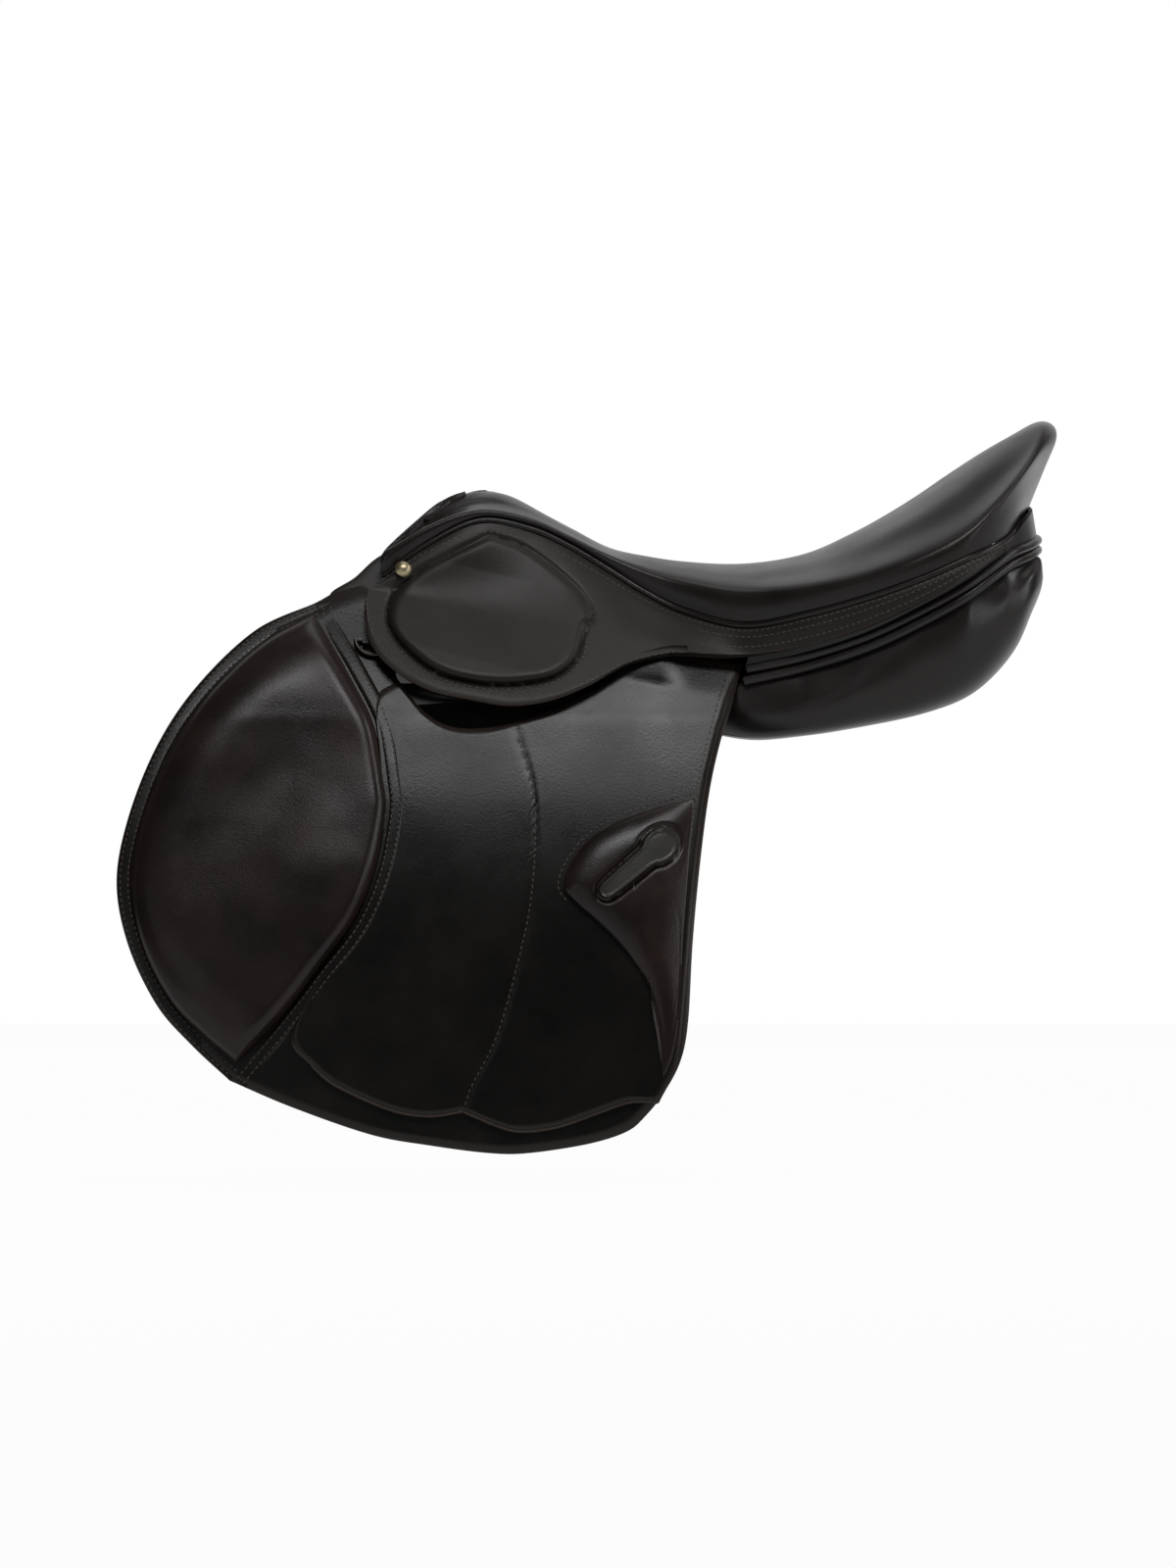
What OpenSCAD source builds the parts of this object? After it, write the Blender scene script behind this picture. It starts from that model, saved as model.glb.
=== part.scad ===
// Jumping saddle with a forward-cut flap, as it stands on a rack.
// Forward is -X, the rider's left is -Y, and the origin lies on the midline
// at the level where the panels bear on the back that carries the saddle.

/* [Seat] */
// Reach of the cantle behind the lowest point of the seat line
rear_l = 232; // [215:1:250]
// Half width of the seat at its widest, behind the middle
seat_half_w = 131; // [120:1:142]
// Thickness of the seat leather
cover_t = 3; // [2:0.5:4]
// Radius of the piping under the seat
piping_r = 2.2; // [1.6:0.2:2.6]

/* [Tree] */
// Inner radius of the head arch
arch_r = 24; // [22:0.5:26]
// Thickness of the head arch
arch_t = 13; // [11:0.5:14]
// Width of each side rail of the tree
rail_w = 24; // [20:1:27]
// Thickness of each side rail
rail_t = 12; // [9:0.5:14]
// Thickness of the steel plates over and under the head
plate_t = 2.5; // [1.5:0.25:3]
// Thickness of the spring strips under the rails
spring_t = 2; // [1.2:0.2:3]
// Width of the spring strips
spring_w = 18; // [14:1:20]
// Diameter of the rivet shanks in the tree
rivet_d = 5; // [4:0.5:6]

/* [Stirrup bar] */
// Length of the bar that carries the stirrup leather
bar_l = 72; // [66:1:78]
// Height of the bar
bar_h = 11; // [9:0.5:13]
// Thickness of the bar
bar_t = 6; // [5:0.5:7]
// Gap behind the bar for the leather
bar_gap = 12; // [10:0.5:13]
// Diameter of the pin of the safety catch
pin_d = 4; // [3:0.5:5]

/* [Flap] */
// Depth of the flap below the origin
flap_drop = 276; // [255:1:295]
// Reach of the flap in front of the origin
flap_reach = 386; // [370:1:400]
// Thickness of the flap leather
flap_t = 4.5; // [3.5:0.5:5.5]
// Height of the padding on the front of the flap
knee_pad_h = 13; // [8:1:16]
// Height of the padding at the rear of the flap
thigh_pad_h = 8; // [5:1:11]
// Thickness of the skirt leather
skirt_t = 4.5; // [3.5:0.5:5]

/* [Billets] */
// Width of a billet strap
billet_w = 25; // [22:1:28]
// Thickness of a billet strap
billet_t = 4; // [3:0.5:4.5]
// Length of a billet strap
billet_l = 285; // [265:1:295]
// Number of punched holes in a billet
hole_count = 6; // [4:1:7]
// Distance between holes
hole_pitch = 25; // [20:1:26]
// Diameter of a punched hole
hole_d = 6; // [5:0.5:7]

/* [Dee] */
// Inner width of the front dee
dee_w = 20; // [16:1:24]
// Wire diameter of the dee
dee_d = 3; // [2.5:0.5:3.5]

/* [Fit] */
// Clearance between pieces that lie on each other
seat_gap = 0.7; // [0.5:0.1:0.9]
// Clearance round pins and rivets
pin_gap = 0.15; // [0.1:0.05:0.25]

/* [Hidden] */
$fn = 48;

leather = "#2b2522";
skirt_leather = "#35302d";
flap_leather = "#24201e";
pad_leather = "#30251f";
wood = "#b98f5e";
steel = "#8f9296";
webbing = "#c9bfa6";
foam = "#d8cfa8";
brass = "#a98a4a";

// Outlines are drawn for these sizes, and stretched with the driving sizes
drawn_rear_l = 232;
drawn_half_w = 131;
drawn_drop = 276;
drawn_reach = 386;
flap_front_x = -222;

function rear_x(x) = x > 0 ? x * rear_l / drawn_rear_l : x;
function flap_x(x) = x < flap_front_x
    ? flap_front_x + (x - flap_front_x) * (flap_reach + flap_front_x) / (drawn_reach + flap_front_x)
    : x;
function flap_z(z) = z < 0 ? z * flap_drop / drawn_drop : z;
function flap_points(list) = [for (p = list) [flap_x(p.x), flap_z(p.y)]];

function mix(a, b, t) = a + (b - a) * t;
function unit(v) = v / norm(v);
// Point at t between b and c on the smooth curve through a, b, c and d
function spline(a, b, c, d, t) =
    0.5 * (2 * b + (c - a) * t + (2 * a - 5 * b + 4 * c - d) * t * t + (3 * b - a - 3 * c + d) * t * t * t);
function open_curve(p, n) = [
    for (i = [0 : len(p) - 2], k = [0 : n - 1])
        spline(p[max(i - 1, 0)], p[i], p[i + 1], p[min(i + 2, len(p) - 1)], k / n),
    p[len(p) - 1]
];
function closed_curve(p, n) = let (m = len(p)) [
    for (i = [0 : m - 1], k = [0 : n - 1])
        spline(p[(i + m - 1) % m], p[i], p[(i + 1) % m], p[(i + 2) % m], k / n)
];

// The two triangles of a patch, seen from outside in clockwise order
function patch(a, b, c, d) = [[a, b, c], [a, c, d]];

// A sheet with an outer and an inner skin, each a list of rows of points
module sheet(outer, inner) {
    rows = len(outer);
    cols = len(outer[0]);
    half = rows * cols;
    points = concat([for (r = outer) each r], [for (r = inner) each r]);
    skins = [for (r = [0 : rows - 2], c = [0 : cols - 2])
        let (a = r * cols + c, b = a + cols)
        each concat(patch(a, a + 1, b + 1, b), patch(half + a, half + b, half + b + 1, half + a + 1))];
    ends = [for (c = [0 : cols - 2], last = [0, 1])
        let (a = last * (rows - 1) * cols + c)
        each last == 0 ? patch(a, half + a, half + a + 1, a + 1) : patch(a, a + 1, half + a + 1, half + a)];
    sides = [for (r = [0 : rows - 2], last = [0, 1])
        let (a = r * cols + last * (cols - 1), b = a + cols)
        each last == 0 ? patch(a, b, half + b, half + a) : patch(a, half + a, half + b, b)];
    polyhedron(points, concat(skins, ends, sides));
}

// A pad on the left side: an outline in x and z, spread from a centre in rings,
// with the half widths of its inner and outer faces given by functions
module pad(outline, centre, rings, inner_y, outer_y) {
    n = len(outline);
    spots = [[centre.x, centre.y, 0],
        for (k = [1 : rings], p = outline) let (f = k / rings) [each mix(centre, p, f), f]];
    half = len(spots);
    points = concat(
        [for (s = spots) [s.x, -outer_y(s.x, s.y, s[2]), s.y]],
        [for (s = spots) [s.x, -inner_y(s.x, s.y, s[2]), s.y]]);
    function at(k, i) = 1 + (k - 1) * n + i % n;
    tips = [for (i = [0 : n - 1]) each
        [[0, at(1, i + 1), at(1, i)], [half, half + at(1, i), half + at(1, i + 1)]]];
    skins = [for (k = [1 : rings - 1], i = [0 : n - 1])
        let (a = at(k, i), b = at(k, i + 1), c = at(k + 1, i + 1), d = at(k + 1, i))
        each concat(patch(a, b, c, d), patch(half + a, half + d, half + c, half + b))];
    rim = [for (i = [0 : n - 1])
        let (a = at(rings, i), b = at(rings, i + 1))
        each patch(a, b, half + b, half + a)];
    polyhedron(points, concat(tips, skins, rim));
}

// A body through a list of closed loops of points, with its ends closed
module loft(loops) {
    m = len(loops[0]);
    last = len(loops) - 1;
    middle = function (loop) [for (k = [0 : 2]) [for (p = loop) p[k]] * [for (p = loop) 1] / m];
    points = concat([for (l = loops) each l], [middle(loops[0]), middle(loops[last])]);
    skin = [for (s = [0 : last - 1], i = [0 : m - 1])
        let (j = (i + 1) % m)
        each patch(s * m + i, s * m + j, (s + 1) * m + j, (s + 1) * m + i)];
    ends = [for (i = [0 : m - 1])
        let (j = (i + 1) % m)
        each [[len(points) - 2, j, i], [len(points) - 1, last * m + i, last * m + j]]];
    polyhedron(points, concat(skin, ends));
}

// A round cord of radius r along a path
module cord(path, r, sides = 8) {
    last = len(path) - 1;
    loft([for (k = [0 : last])
        let (along = unit(path[min(k + 1, last)] - path[max(k - 1, 0)]),
             across = unit(cross(along, [0, 0.6, 0.8])),
             up = cross(across, along))
        [for (i = [0 : sides - 1]) let (a = 360 * i / sides) path[k] + r * (cos(a) * across + sin(a) * up)]]);
}

module on_right() { mirror([0, 1, 0]) children(); }

// Head arch of the tree, leaning back as a cut-back head does
head_tilt = 40;
head_depth = 30;
head_front = [-191.8, 0, 114.7];
arch_spread = 20;
arch_leg = 85;
plate_leg = 58;
plate_depth = 20;
head_plate_leg = 6;
head_plate_depth = 10;
plate_inset = 4;

function arc(r, from, to, n) = [for (k = [0 : n]) let (a = mix(from, to, k / n)) r * [cos(a), sin(a)]];
function arch(r, t, leg) =
    let (foot = leg * [sin(arch_spread), -cos(arch_spread)], last = 180 - arch_spread, steps = 12,
         over = arc(r + t, last, arch_spread, steps), under = arc(r, arch_spread, last, steps))
    concat([over[0] + [-foot.x, foot.y]], over, [over[steps] + foot],
        [under[0] + foot], under, [under[steps] + [-foot.x, foot.y]]);

module head_piece(r, t, leg, back, depth) {
    translate(head_front)
        rotate([0, head_tilt, 0])
        translate([back, 0, 0])
        rotate([90, 0, 90])
        linear_extrude(depth)
        polygon(arch(r, t, leg));
}

// Side rails: the line of their top in x and z, and of their middle in x and y
rail_top = open_curve([for (p = [[-169, 111], [-130, 98], [-100, 87], [-50, 73], [0, 65], [45, 68],
    [85, 84], [122, 112]]) [rear_x(p.x), p.y]], 3);
rail_middle = open_curve([for (p = [[-169, 36], [-100, 40], [0, 54], [60, 70], [85, 76], [122, 73]])
    [rear_x(p.x), p.y]], 3);
rail_rivets_x = [-68, -8, 30];
spring_from_x = -101;
spring_to_x = 75;
rivet_head = 1.7;
rivet_head_h = 1.8;

function rail_z(x) = lookup(x, rail_top);
function rail_y(x) = lookup(x, rail_middle);

// A bar along the left rail, of width w and thickness t, hung below the rail's top by drop
module rail_bar(w, t, drop, from_x, to_x) {
    spots = [for (p = rail_middle) if (p.x >= from_x && p.x <= to_x) p];
    reach = 400;
    intersection() {
        rotate([90, 0, 0])
            linear_extrude(reach, center = true)
            polygon(concat([for (p = rail_top) p - [0, drop]],
                [for (k = [len(rail_top) - 1 : -1 : 0]) rail_top[k] - [0, drop + t]]));
        translate([0, 0, -reach / 2])
            linear_extrude(reach)
            polygon(concat([for (p = spots) [p.x, -p.y - w / 2]],
                [for (k = [len(spots) - 1 : -1 : 0]) [spots[k].x, -spots[k].y + w / 2]]));
    }
}

module rail_rivet(extra, heads) {
    for (x = rail_rivets_x) {
        low = rail_z(x) - rail_t - spring_t - 2;
        translate([x, -rail_y(x), low])
            cylinder(d = rivet_d + 2 * extra, h = rail_t + spring_t + 4);
        if (heads)
            translate([x, -rail_y(x), low - rivet_head_h + 0.5])
                cylinder(d = rivet_d * rivet_head, h = rivet_head_h);
    }
}

// Cantle: a crescent that rises to the rear
cantle_tilt = 38;
cantle_at = [95, 0, 77];
cantle_out_r = 92;
cantle_in_r = 66;
cantle_half_angle = 100;
cantle_t = 12;

module cantle() {
    translate([rear_x(cantle_at.x), 0, cantle_at.z])
        rotate([0, -cantle_tilt, 0])
        linear_extrude(cantle_t)
        polygon(concat(arc(cantle_out_r, -cantle_half_angle, cantle_half_angle, 20),
            arc(cantle_in_r, cantle_half_angle, -cantle_half_angle, 20)));
}

// Stirrup bar: its own frame has z up along the slope of the tree and -y outward
bar_at = [-146, -66, 50];
bar_slope = 38;
bar_plate_t = 3;
bar_plate_h = 26;
bar_plate_front = -52;
bar_plate_rear = 42;
bar_front = -50;
bar_arm_l = 10;
bar_seat_t = 11;
bar_seat_up = 52;
bar_seat_front = -74;
bar_web_front = -14;
bar_seat_rear = 40;
bar_rivets_x = [-28, 34];
catch_t = 3;
catch_w = 8;
catch_reach = 22;
catch_lug = 5;
catch_pin_x = bar_front + bar_l - 8;
bar_fit = 0.2;

module bar_frame() { translate(bar_at) rotate([-bar_slope, 0, 0]) children(); }

module bar_rivet(extra, heads) {
    for (x = bar_rivets_x) {
        translate([x, -1, 0])
            rotate([-90, 0, 0])
            cylinder(d = rivet_d + 2 * extra, h = bar_plate_t + bar_seat_t + 2);
        if (heads)
            translate([x, -0.2, 0])
                rotate([90, 0, 0])
                cylinder(d = rivet_d * rivet_head, h = rivet_head_h);
    }
}

module left_tree_holes() {
    rail_rivet(pin_gap, false);
    bar_frame() bar_rivet(pin_gap, false);
}

module left_tree_side() {
    rail_bar(rail_w, rail_t, 0, rail_top[0].x, rear_l);
    bar_frame() translate([0, bar_plate_t + bar_fit, -bar_plate_h / 2]) {
        translate([bar_seat_front, 0, 0]) cube([bar_seat_rear - bar_seat_front, bar_seat_t, bar_plate_h]);
        translate([bar_web_front, 0, 0])
            cube([bar_seat_rear - bar_web_front, bar_seat_t, bar_seat_up + bar_plate_h / 2]);
    }
}

module tree() {
    color(wood)
        difference() {
            union() {
                head_piece(arch_r, arch_t, arch_leg, 0, head_depth);
                left_tree_side();
                on_right() left_tree_side();
                cantle();
            }
            left_tree_holes();
            on_right() left_tree_holes();
        }
}

module head_plate() {
    color(steel)
        head_piece(arch_r + arch_t + bar_fit, plate_t, head_plate_leg, plate_inset, head_plate_depth);
}

module gullet_plate() {
    color(steel) head_piece(arch_r - plate_t - bar_fit, plate_t, plate_leg, plate_inset, plate_depth);
}

module left_spring() {
    color(steel)
        difference() {
            rail_bar(spring_w, spring_t, rail_t + bar_fit, spring_from_x, spring_to_x);
            rail_rivet(pin_gap, false);
        }
}

module tree_rivets() {
    color(steel) {
        rail_rivet(0, true);
        on_right() rail_rivet(0, true);
    }
}

module left_stirrup_bar() {
    color(steel) bar_frame()
        difference() {
            union() {
                translate([bar_plate_front, 0, -bar_plate_h / 2])
                    cube([bar_plate_rear - bar_plate_front, bar_plate_t, bar_plate_h]);
                translate([bar_front, -bar_gap - bar_t, -bar_h / 2])
                    cube([bar_arm_l, bar_gap + bar_t + 1, bar_h]);
                translate([bar_front, -bar_gap - bar_t, -bar_h / 2]) cube([bar_l, bar_t, bar_h]);
            }
            bar_rivet(pin_gap, false);
            catch_pin(pin_gap / 3);
        }
}

module catch_pin(extra) {
    translate([catch_pin_x, -bar_gap - bar_t - 0.5, 0])
        rotate([-90, 0, 0])
        cylinder(d = pin_d + 2 * extra, h = bar_t + catch_t + 1.5);
}

module left_catch() {
    inside = -bar_gap + 0.3;
    color(steel) bar_frame()
        difference() {
            union() {
                translate([catch_pin_x, inside, 0])
                    rotate([-90, 0, 0])
                    cylinder(d = bar_h, h = catch_t);
                translate([catch_pin_x, inside, -catch_w / 2]) cube([catch_reach, catch_t, catch_w]);
                translate([catch_pin_x + catch_reach - catch_lug, inside - catch_lug, -catch_w / 2])
                    cube([catch_lug, catch_lug + catch_t, catch_w]);
            }
            catch_pin(pin_gap / 2);
        }
}

module catch_pins() {
    color(steel) {
        bar_frame() catch_pin(0);
        on_right() bar_frame() catch_pin(0);
    }
}

module bar_rivets() {
    color(steel) {
        bar_frame() bar_rivet(0, true);
        on_right() bar_frame() bar_rivet(0, true);
    }
}

// Seat: stations from the front of the pommel round the left side to the back of the cantle.
// Each holds x and z on the middle line, x, y and z on the ridge and on the lower rim, the power
// of the fall from the middle to the ridge, and the depth of foam under the leather there
seat_drawn = [
    [-136, 157.3, -158, 0, 157, -172, 0, 149, 0.7, 3],
    [-134, 156.8, -167, 16, 155, -184, 22, 137, 0.9, 3],
    [-132, 156.2, -190, 36, 139, -205, 44, 114, 1.2, 3],
    [-130, 155.4, -200, 46, 127, -214, 55, 104, 1.4, 3],
    [-127, 154.3, -172, 43, 143, -186, 54, 124, 1.6, 3],
    [-119, 150, -146, 40, 153, -150, 50, 143, 2, 4],
    [-102, 139.5, -116, 40, 144, -116, 47, 139, 2.2, 6],
    [-86, 130, -90, 42, 130, -90, 49, 124.5, 2.2, 10],
    [-64, 119, -64, 44, 116, -64, 52, 109, 2.2, 13],
    [-39, 113.5, -39, 48, 108, -39, 59, 93.5, 2.2, 15],
    [-13, 110, -13, 56, 102, -13, 70, 81, 2.2, 15],
    [26, 109, 26, 74, 96, 26, 92, 71.6, 2.2, 14],
    [66, 117.5, 68, 92, 100, 68, 112, 79, 2.2, 11],
    [97, 131, 106, 106, 107, 105, 124, 89, 2, 8],
    [124, 146, 142, 114, 120, 140, 131, 101, 1.7, 5],
    [140, 156, 180, 110, 141, 172, 129, 115, 1.3, 5],
    [149, 162, 215, 84, 175, 195, 107, 126, 0.9, 6],
    [152, 164, 225, 44, 200, 208, 64, 139, 0.8, 6],
    [155, 166, 227, 0, 205, 214, 0, 148, 0.7, 6]
];
seat_rows = 4;
wall_rows = 3;
wall_bulge = 4;
foam_fit = 0.6;

// Half widths follow the seat's width from the waist back
function side_y(x, y) =
    y * mix(1, seat_half_w / drawn_half_w, min(1, max(0, (x + 40) / 150)));
function side_point(x, y, z) = [rear_x(x), -side_y(x, y), z];
function rim_point(s) = side_point(s[5], s[6], s[7]);
function outward(s) = let (v = [rear_x(s[5]) - rear_x(s[0]), -side_y(s[5], s[6])]) v / norm(v);

// Points of a station from the middle to the rim, sunk by depth below the surface
function seat_line(s, depth) =
    let (o = outward(s),
         mid = [rear_x(s[0]), 0, s[1] - depth],
         ridge = side_point(s[2], s[3], s[4]) - depth * [0.6 * o.x, 0.6 * o.y, 0.8],
         rim = rim_point(s) - depth * [o.x, o.y, 0])
    concat(
        [for (k = [0 : seat_rows])
            let (t = k / seat_rows)
            [mix(mid.x, ridge.x, t), mix(mid.y, ridge.y, t), mix(mid.z, ridge.z, pow(t, s[8]))]],
        [for (k = [1 : wall_rows])
            let (a = 90 * k / wall_rows, bulge = wall_bulge * sin(2 * a))
            [mix(ridge.x, rim.x, sin(a)) + bulge * o.x, mix(ridge.y, rim.y, sin(a)) + bulge * o.y,
             mix(ridge.z, rim.z, 1 - cos(a))]]);

seat_stations = open_curve(seat_drawn, 2);

// A layer of the seat between two depths, each given by a function of the station
module seat_layer(upper_depth, lower_depth) {
    last = len(seat_stations) - 1;
    m = seat_rows + wall_rows;
    function row(i, line) = i == 0 || i == last
        ? [for (j = [m : -1 : 0]) line[j]]
        : [for (j = [m : -1 : 0]) line[j], for (j = [1 : m]) [line[j].x, -line[j].y, line[j].z]];
    upper = [for (i = [0 : last]) each row(i, seat_line(seat_stations[i], upper_depth(seat_stations[i])))];
    lower = [for (i = [0 : last]) each row(i, seat_line(seat_stations[i], lower_depth(seat_stations[i])))];
    half = len(upper);
    function at(i, j) = i == 0 ? m - abs(j)
        : m + 1 + (i - 1) * (2 * m + 1) + m + (i == last ? -abs(j) : j);
    skins = [for (i = [0 : last - 1], j = [-m : m - 1])
        let (a = at(i, j), b = at(i, j + 1), c = at(i + 1, j + 1), d = at(i + 1, j))
        each concat(patch(a, b, c, d), patch(half + a, half + d, half + c, half + b))];
    rim = [for (i = [0 : last - 1])
        let (a = at(i, -m), b = at(i + 1, -m), c = at(i, m), d = at(i + 1, m))
        each concat(patch(a, b, half + b, half + a), patch(d, c, half + c, half + d))];
    polyhedron(concat(upper, lower), concat(skins, rim));
}

module seat_cover() {
    color(leather) seat_layer(function (s) 0, function (s) cover_t);
}

module seat_foam() {
    color(foam) seat_layer(function (s) cover_t + foam_fit, function (s) cover_t + foam_fit + s[9]);
}

// Piping along the rim of the seat
piping_drop = piping_r + 0.5;
piping_first = 6;

module left_piping() {
    color(leather)
        cord([for (i = [piping_first : len(seat_stations) - 2])
            rim_point(seat_stations[i]) + [0, -0.5, -piping_drop]], piping_r, 6);
}

// Fold line of skirt and flap, as a line in space on the outer face of the skirt
fold_front = [-228, -66, 94];
fold_rear = [-10, -97, 51];
function fold_at(x) = mix(fold_front, fold_rear, (x - fold_front.x) / (fold_rear.x - fold_front.x));

// Upper skirt: sewn in under the seat, it runs from the head along the seat to the cantle
skirt_first = 3;
skirt_last = 16;
skirt_top_out = 1.5;
skirt_top_drop = 2 * piping_r + 1.4;
skirt_rows = 4;
skirt_bulge = 2.5;
band_low = [[30, 101, 50], [68, 113, 56], [105, 127, 67.5], [141, 134, 84], [172, 132, 102.5],
    [199, 107, 121.5]];
fold_stops_x = [-228, -196, -160, -124, -98, -72, -45, -12];
skirt_top = open_curve([for (i = [skirt_first : skirt_last])
    rim_point(seat_drawn[i]) + [0, -skirt_top_out, -skirt_top_drop]], 2);
skirt_low = open_curve(concat([for (x = fold_stops_x) fold_at(x)],
    [for (p = band_low) side_point(p.x, p.y, p.z)]), 2);

module left_upper_skirt() {
    outer = [for (r = [0 : skirt_rows]) let (f = r / skirt_rows)
        [for (k = [0 : len(skirt_top) - 1])
            mix(skirt_top[k], skirt_low[k], f) + skirt_bulge * sin(180 * f) * [0, -0.9, 0.4]]];
    inner = [for (r = outer) [for (p = r) p + [0, skirt_t, 0]]];
    color(skirt_leather)
        difference() {
            sheet(outer, inner);
            nail_at() cylinder(d = nail_shank_d + 2 * pin_gap, h = 40, center = true);
        }
}

// Saddle nails through the upper skirt into the head
nail_d = 12;
nail_h = 4;
nail_shank_d = 4;
nail_spot = [-199, -65, 106.5];
nail_lean = [0.25, -0.85, 0.46];

module nail_at() {
    side = norm([nail_lean.x, nail_lean.y]);
    translate(nail_spot)
        rotate([0, atan2(side, nail_lean.z), atan2(nail_lean.y, nail_lean.x)])
        children();
}

module left_nail() {
    r = (nail_d * nail_d / 4 + nail_h * nail_h) / (2 * nail_h);
    nail_at() {
        intersection() {
            translate([0, 0, nail_h - r]) sphere(r);
            cylinder(d = nail_d, h = nail_h);
        }
        translate([0, 0, -6]) cylinder(d = nail_shank_d, h = 7);
    }
}

module saddle_nails() {
    color(brass) {
        left_nail();
        on_right() left_nail();
    }
}

// Skirt below the fold
skirt_slope = 0.72;
skirt_crown = 3;
fold_gap = 0.4;
skirt_edge = open_curve([[-222, 91], [-225, 80], [-221, 58], [-206, 40], [-181, 26], [-155, 20], [-129, 16],
    [-103, 19], [-77, 29], [-52, 43], [-28, 50.5]], 2);
skirt_outline = concat([for (x = [-40 : -36 : -184]) [x, fold_at(x).z - fold_gap]], skirt_edge);
function skirt_y(x, z) = -fold_at(x).y + (fold_at(x).z - z) * skirt_slope;

module left_skirt() {
    color(skirt_leather)
        pad(skirt_outline, [-140, 52], 4,
            function (x, z, r) skirt_y(x, z) - skirt_t,
            function (x, z, r) skirt_y(x, z) + skirt_crown * (1 - pow(r, 3)));
}

// Flap: its inner half width at each height, and how far its front tucks in
side_shape = open_curve([[-300, 188], [-250, 182], [-200, 175], [-150, 166], [-100, 153], [-50, 134],
    [0, 110], [16, 101], [44, 84], [76, 63], [94, 52], [120, 40]], 4);
front_tuck = 0.00035;
function flap_in(x, z) = lookup(z, side_shape) - front_tuck * pow(min(0, x - flap_front_x), 2);
function flap_out(x, z) = flap_in(x, z) + flap_t;

// The top of the flap is cut away round the stirrup bar, and bends out behind it to meet
// the skirt at the fold
flap_bend_h = 25;
flap_bend_x = -100;
flap_fit = 0.35;
function flap_bend(x, z) = x < flap_bend_x || x > fold_rear.x ? 0
    : let (near = max(0, 1 - (fold_at(x).z - z) / flap_bend_h))
      near * max(0, skirt_y(x, z) - skirt_t - flap_fit - flap_out(x, z));
function flap_tab(x) = [x, fold_at(x).z - fold_gap];
flap_cut = [[-70, 30], [-80, 24], [-100, 14], [-124, 6], [-148, 1], [-170, 3], [-187, 14], [-203, 34],
    [-209, 58]];
flap_top = concat([flap_tab(-20), flap_tab(-50)], flap_cut, [flap_tab(-218)]);
flap_edge = open_curve(flap_points([flap_tab(-226), [-258, 84], [-310, 56], [-335, 29], [-361, -11],
    [-379, -60], [-386, -100], [-369, -164], [-335, -208], [-308, -230], [-219, -264], [-142, -276],
    [-77, -270], [-39, -255], [-16, -216], [-10, -139], [-1, -42], [20, 42]]), 2);
flap_middle = [-168, flap_z(-140)];

module left_flap() {
    color(flap_leather)
        pad(concat(flap_top, flap_edge), flap_middle, 7,
            function (x, z, r) flap_in(x, z) + flap_bend(x, z),
            function (x, z, r) flap_out(x, z) + flap_bend(x, z));
}

// Leather overlay on the middle of the flap
overlay_t = 2.2;
overlay_outline = closed_curve(flap_points([[-212, 28], [-198, -35], [-206, -93], [-245, -161], [-271, -203],
    [-242, -232], [-200, -251], [-159, -249], [-123, -262], [-71, -250], [-38, -244], [-36, -197],
    [-54, -150], [-92, -116], [-101, -98], [-86, -71], [-40, -46], [-2, -28], [4, 8], [-44, 18],
    [-76, 14], [-104, 2], [-130, -6], [-156, -9], [-178, -2], [-196, 14]]), 2);

module left_overlay() {
    color(flap_leather)
        pad(overlay_outline, [-150, flap_z(-75)], 6,
            function (x, z, r) flap_out(x, z) + seat_gap,
            function (x, z, r) flap_out(x, z) + seat_gap + overlay_t);
}

// Padding on the front of the flap, with a full crown and drawn-in sides
pad_edge_t = 2.5;
knee_outline = closed_curve(flap_points([[-262, 79], [-288, 67], [-330, 27], [-356, -15], [-374, -62],
    [-380, -100], [-363, -161], [-330, -203], [-309, -221], [-277, -191], [-252, -159], [-228, -128],
    [-213, -93], [-206, -45], [-214, 3], [-231, 35], [-249, 66]]), 2);

module left_knee_pad() {
    color(pad_leather)
        pad(knee_outline, [-292, flap_z(-70)], 5,
            function (x, z, r) flap_out(x, z) + seat_gap,
            function (x, z, r)
                flap_out(x, z) + seat_gap + pad_edge_t + (knee_pad_h - pad_edge_t) * (1 - pow(r, 2.5)));
}

// Padding at the rear of the flap
thigh_outline = closed_curve(flap_points([[-7, -44], [-39, -51], [-64, -61], [-83, -76], [-96, -100],
    [-89, -112], [-71, -127], [-51, -148], [-38, -172], [-32, -200], [-27, -232], [-21, -218], [-15, -150],
    [-10, -87]]), 2);
thigh_middle = [-45, flap_z(-95)];

module left_thigh_pad() {
    color(pad_leather)
        pad(thigh_outline, thigh_middle, 4,
            function (x, z, r) flap_out(x, z) + seat_gap,
            function (x, z, r)
                flap_out(x, z) + seat_gap + pad_edge_t + (thigh_pad_h - pad_edge_t) * (1 - pow(r, 4)));
}

// Plain tag sewn on the rear padding
tag_l = 62;
tag_w = 17;
tag_t = 1.4;
tag_turn = 40;
tag_corner = 0.4;
tag_spot = [-45, flap_z(-88)];
tag_outline = [for (a = [0 : 20 : 340])
    let (u = tag_l / 2 * sign(cos(a)) * pow(abs(cos(a)), tag_corner),
         v = tag_w / 2 * sign(sin(a)) * pow(abs(sin(a)), tag_corner))
    tag_spot + [u * cos(tag_turn) - v * sin(tag_turn), u * sin(tag_turn) + v * cos(tag_turn)]];

module left_tag() {
    color(steel)
        pad(tag_outline, tag_spot, 2,
            function (x, z, r) flap_out(x, z) + 2 * seat_gap + thigh_pad_h,
            function (x, z, r) flap_out(x, z) + 2 * seat_gap + thigh_pad_h + tag_t);
}

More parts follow.
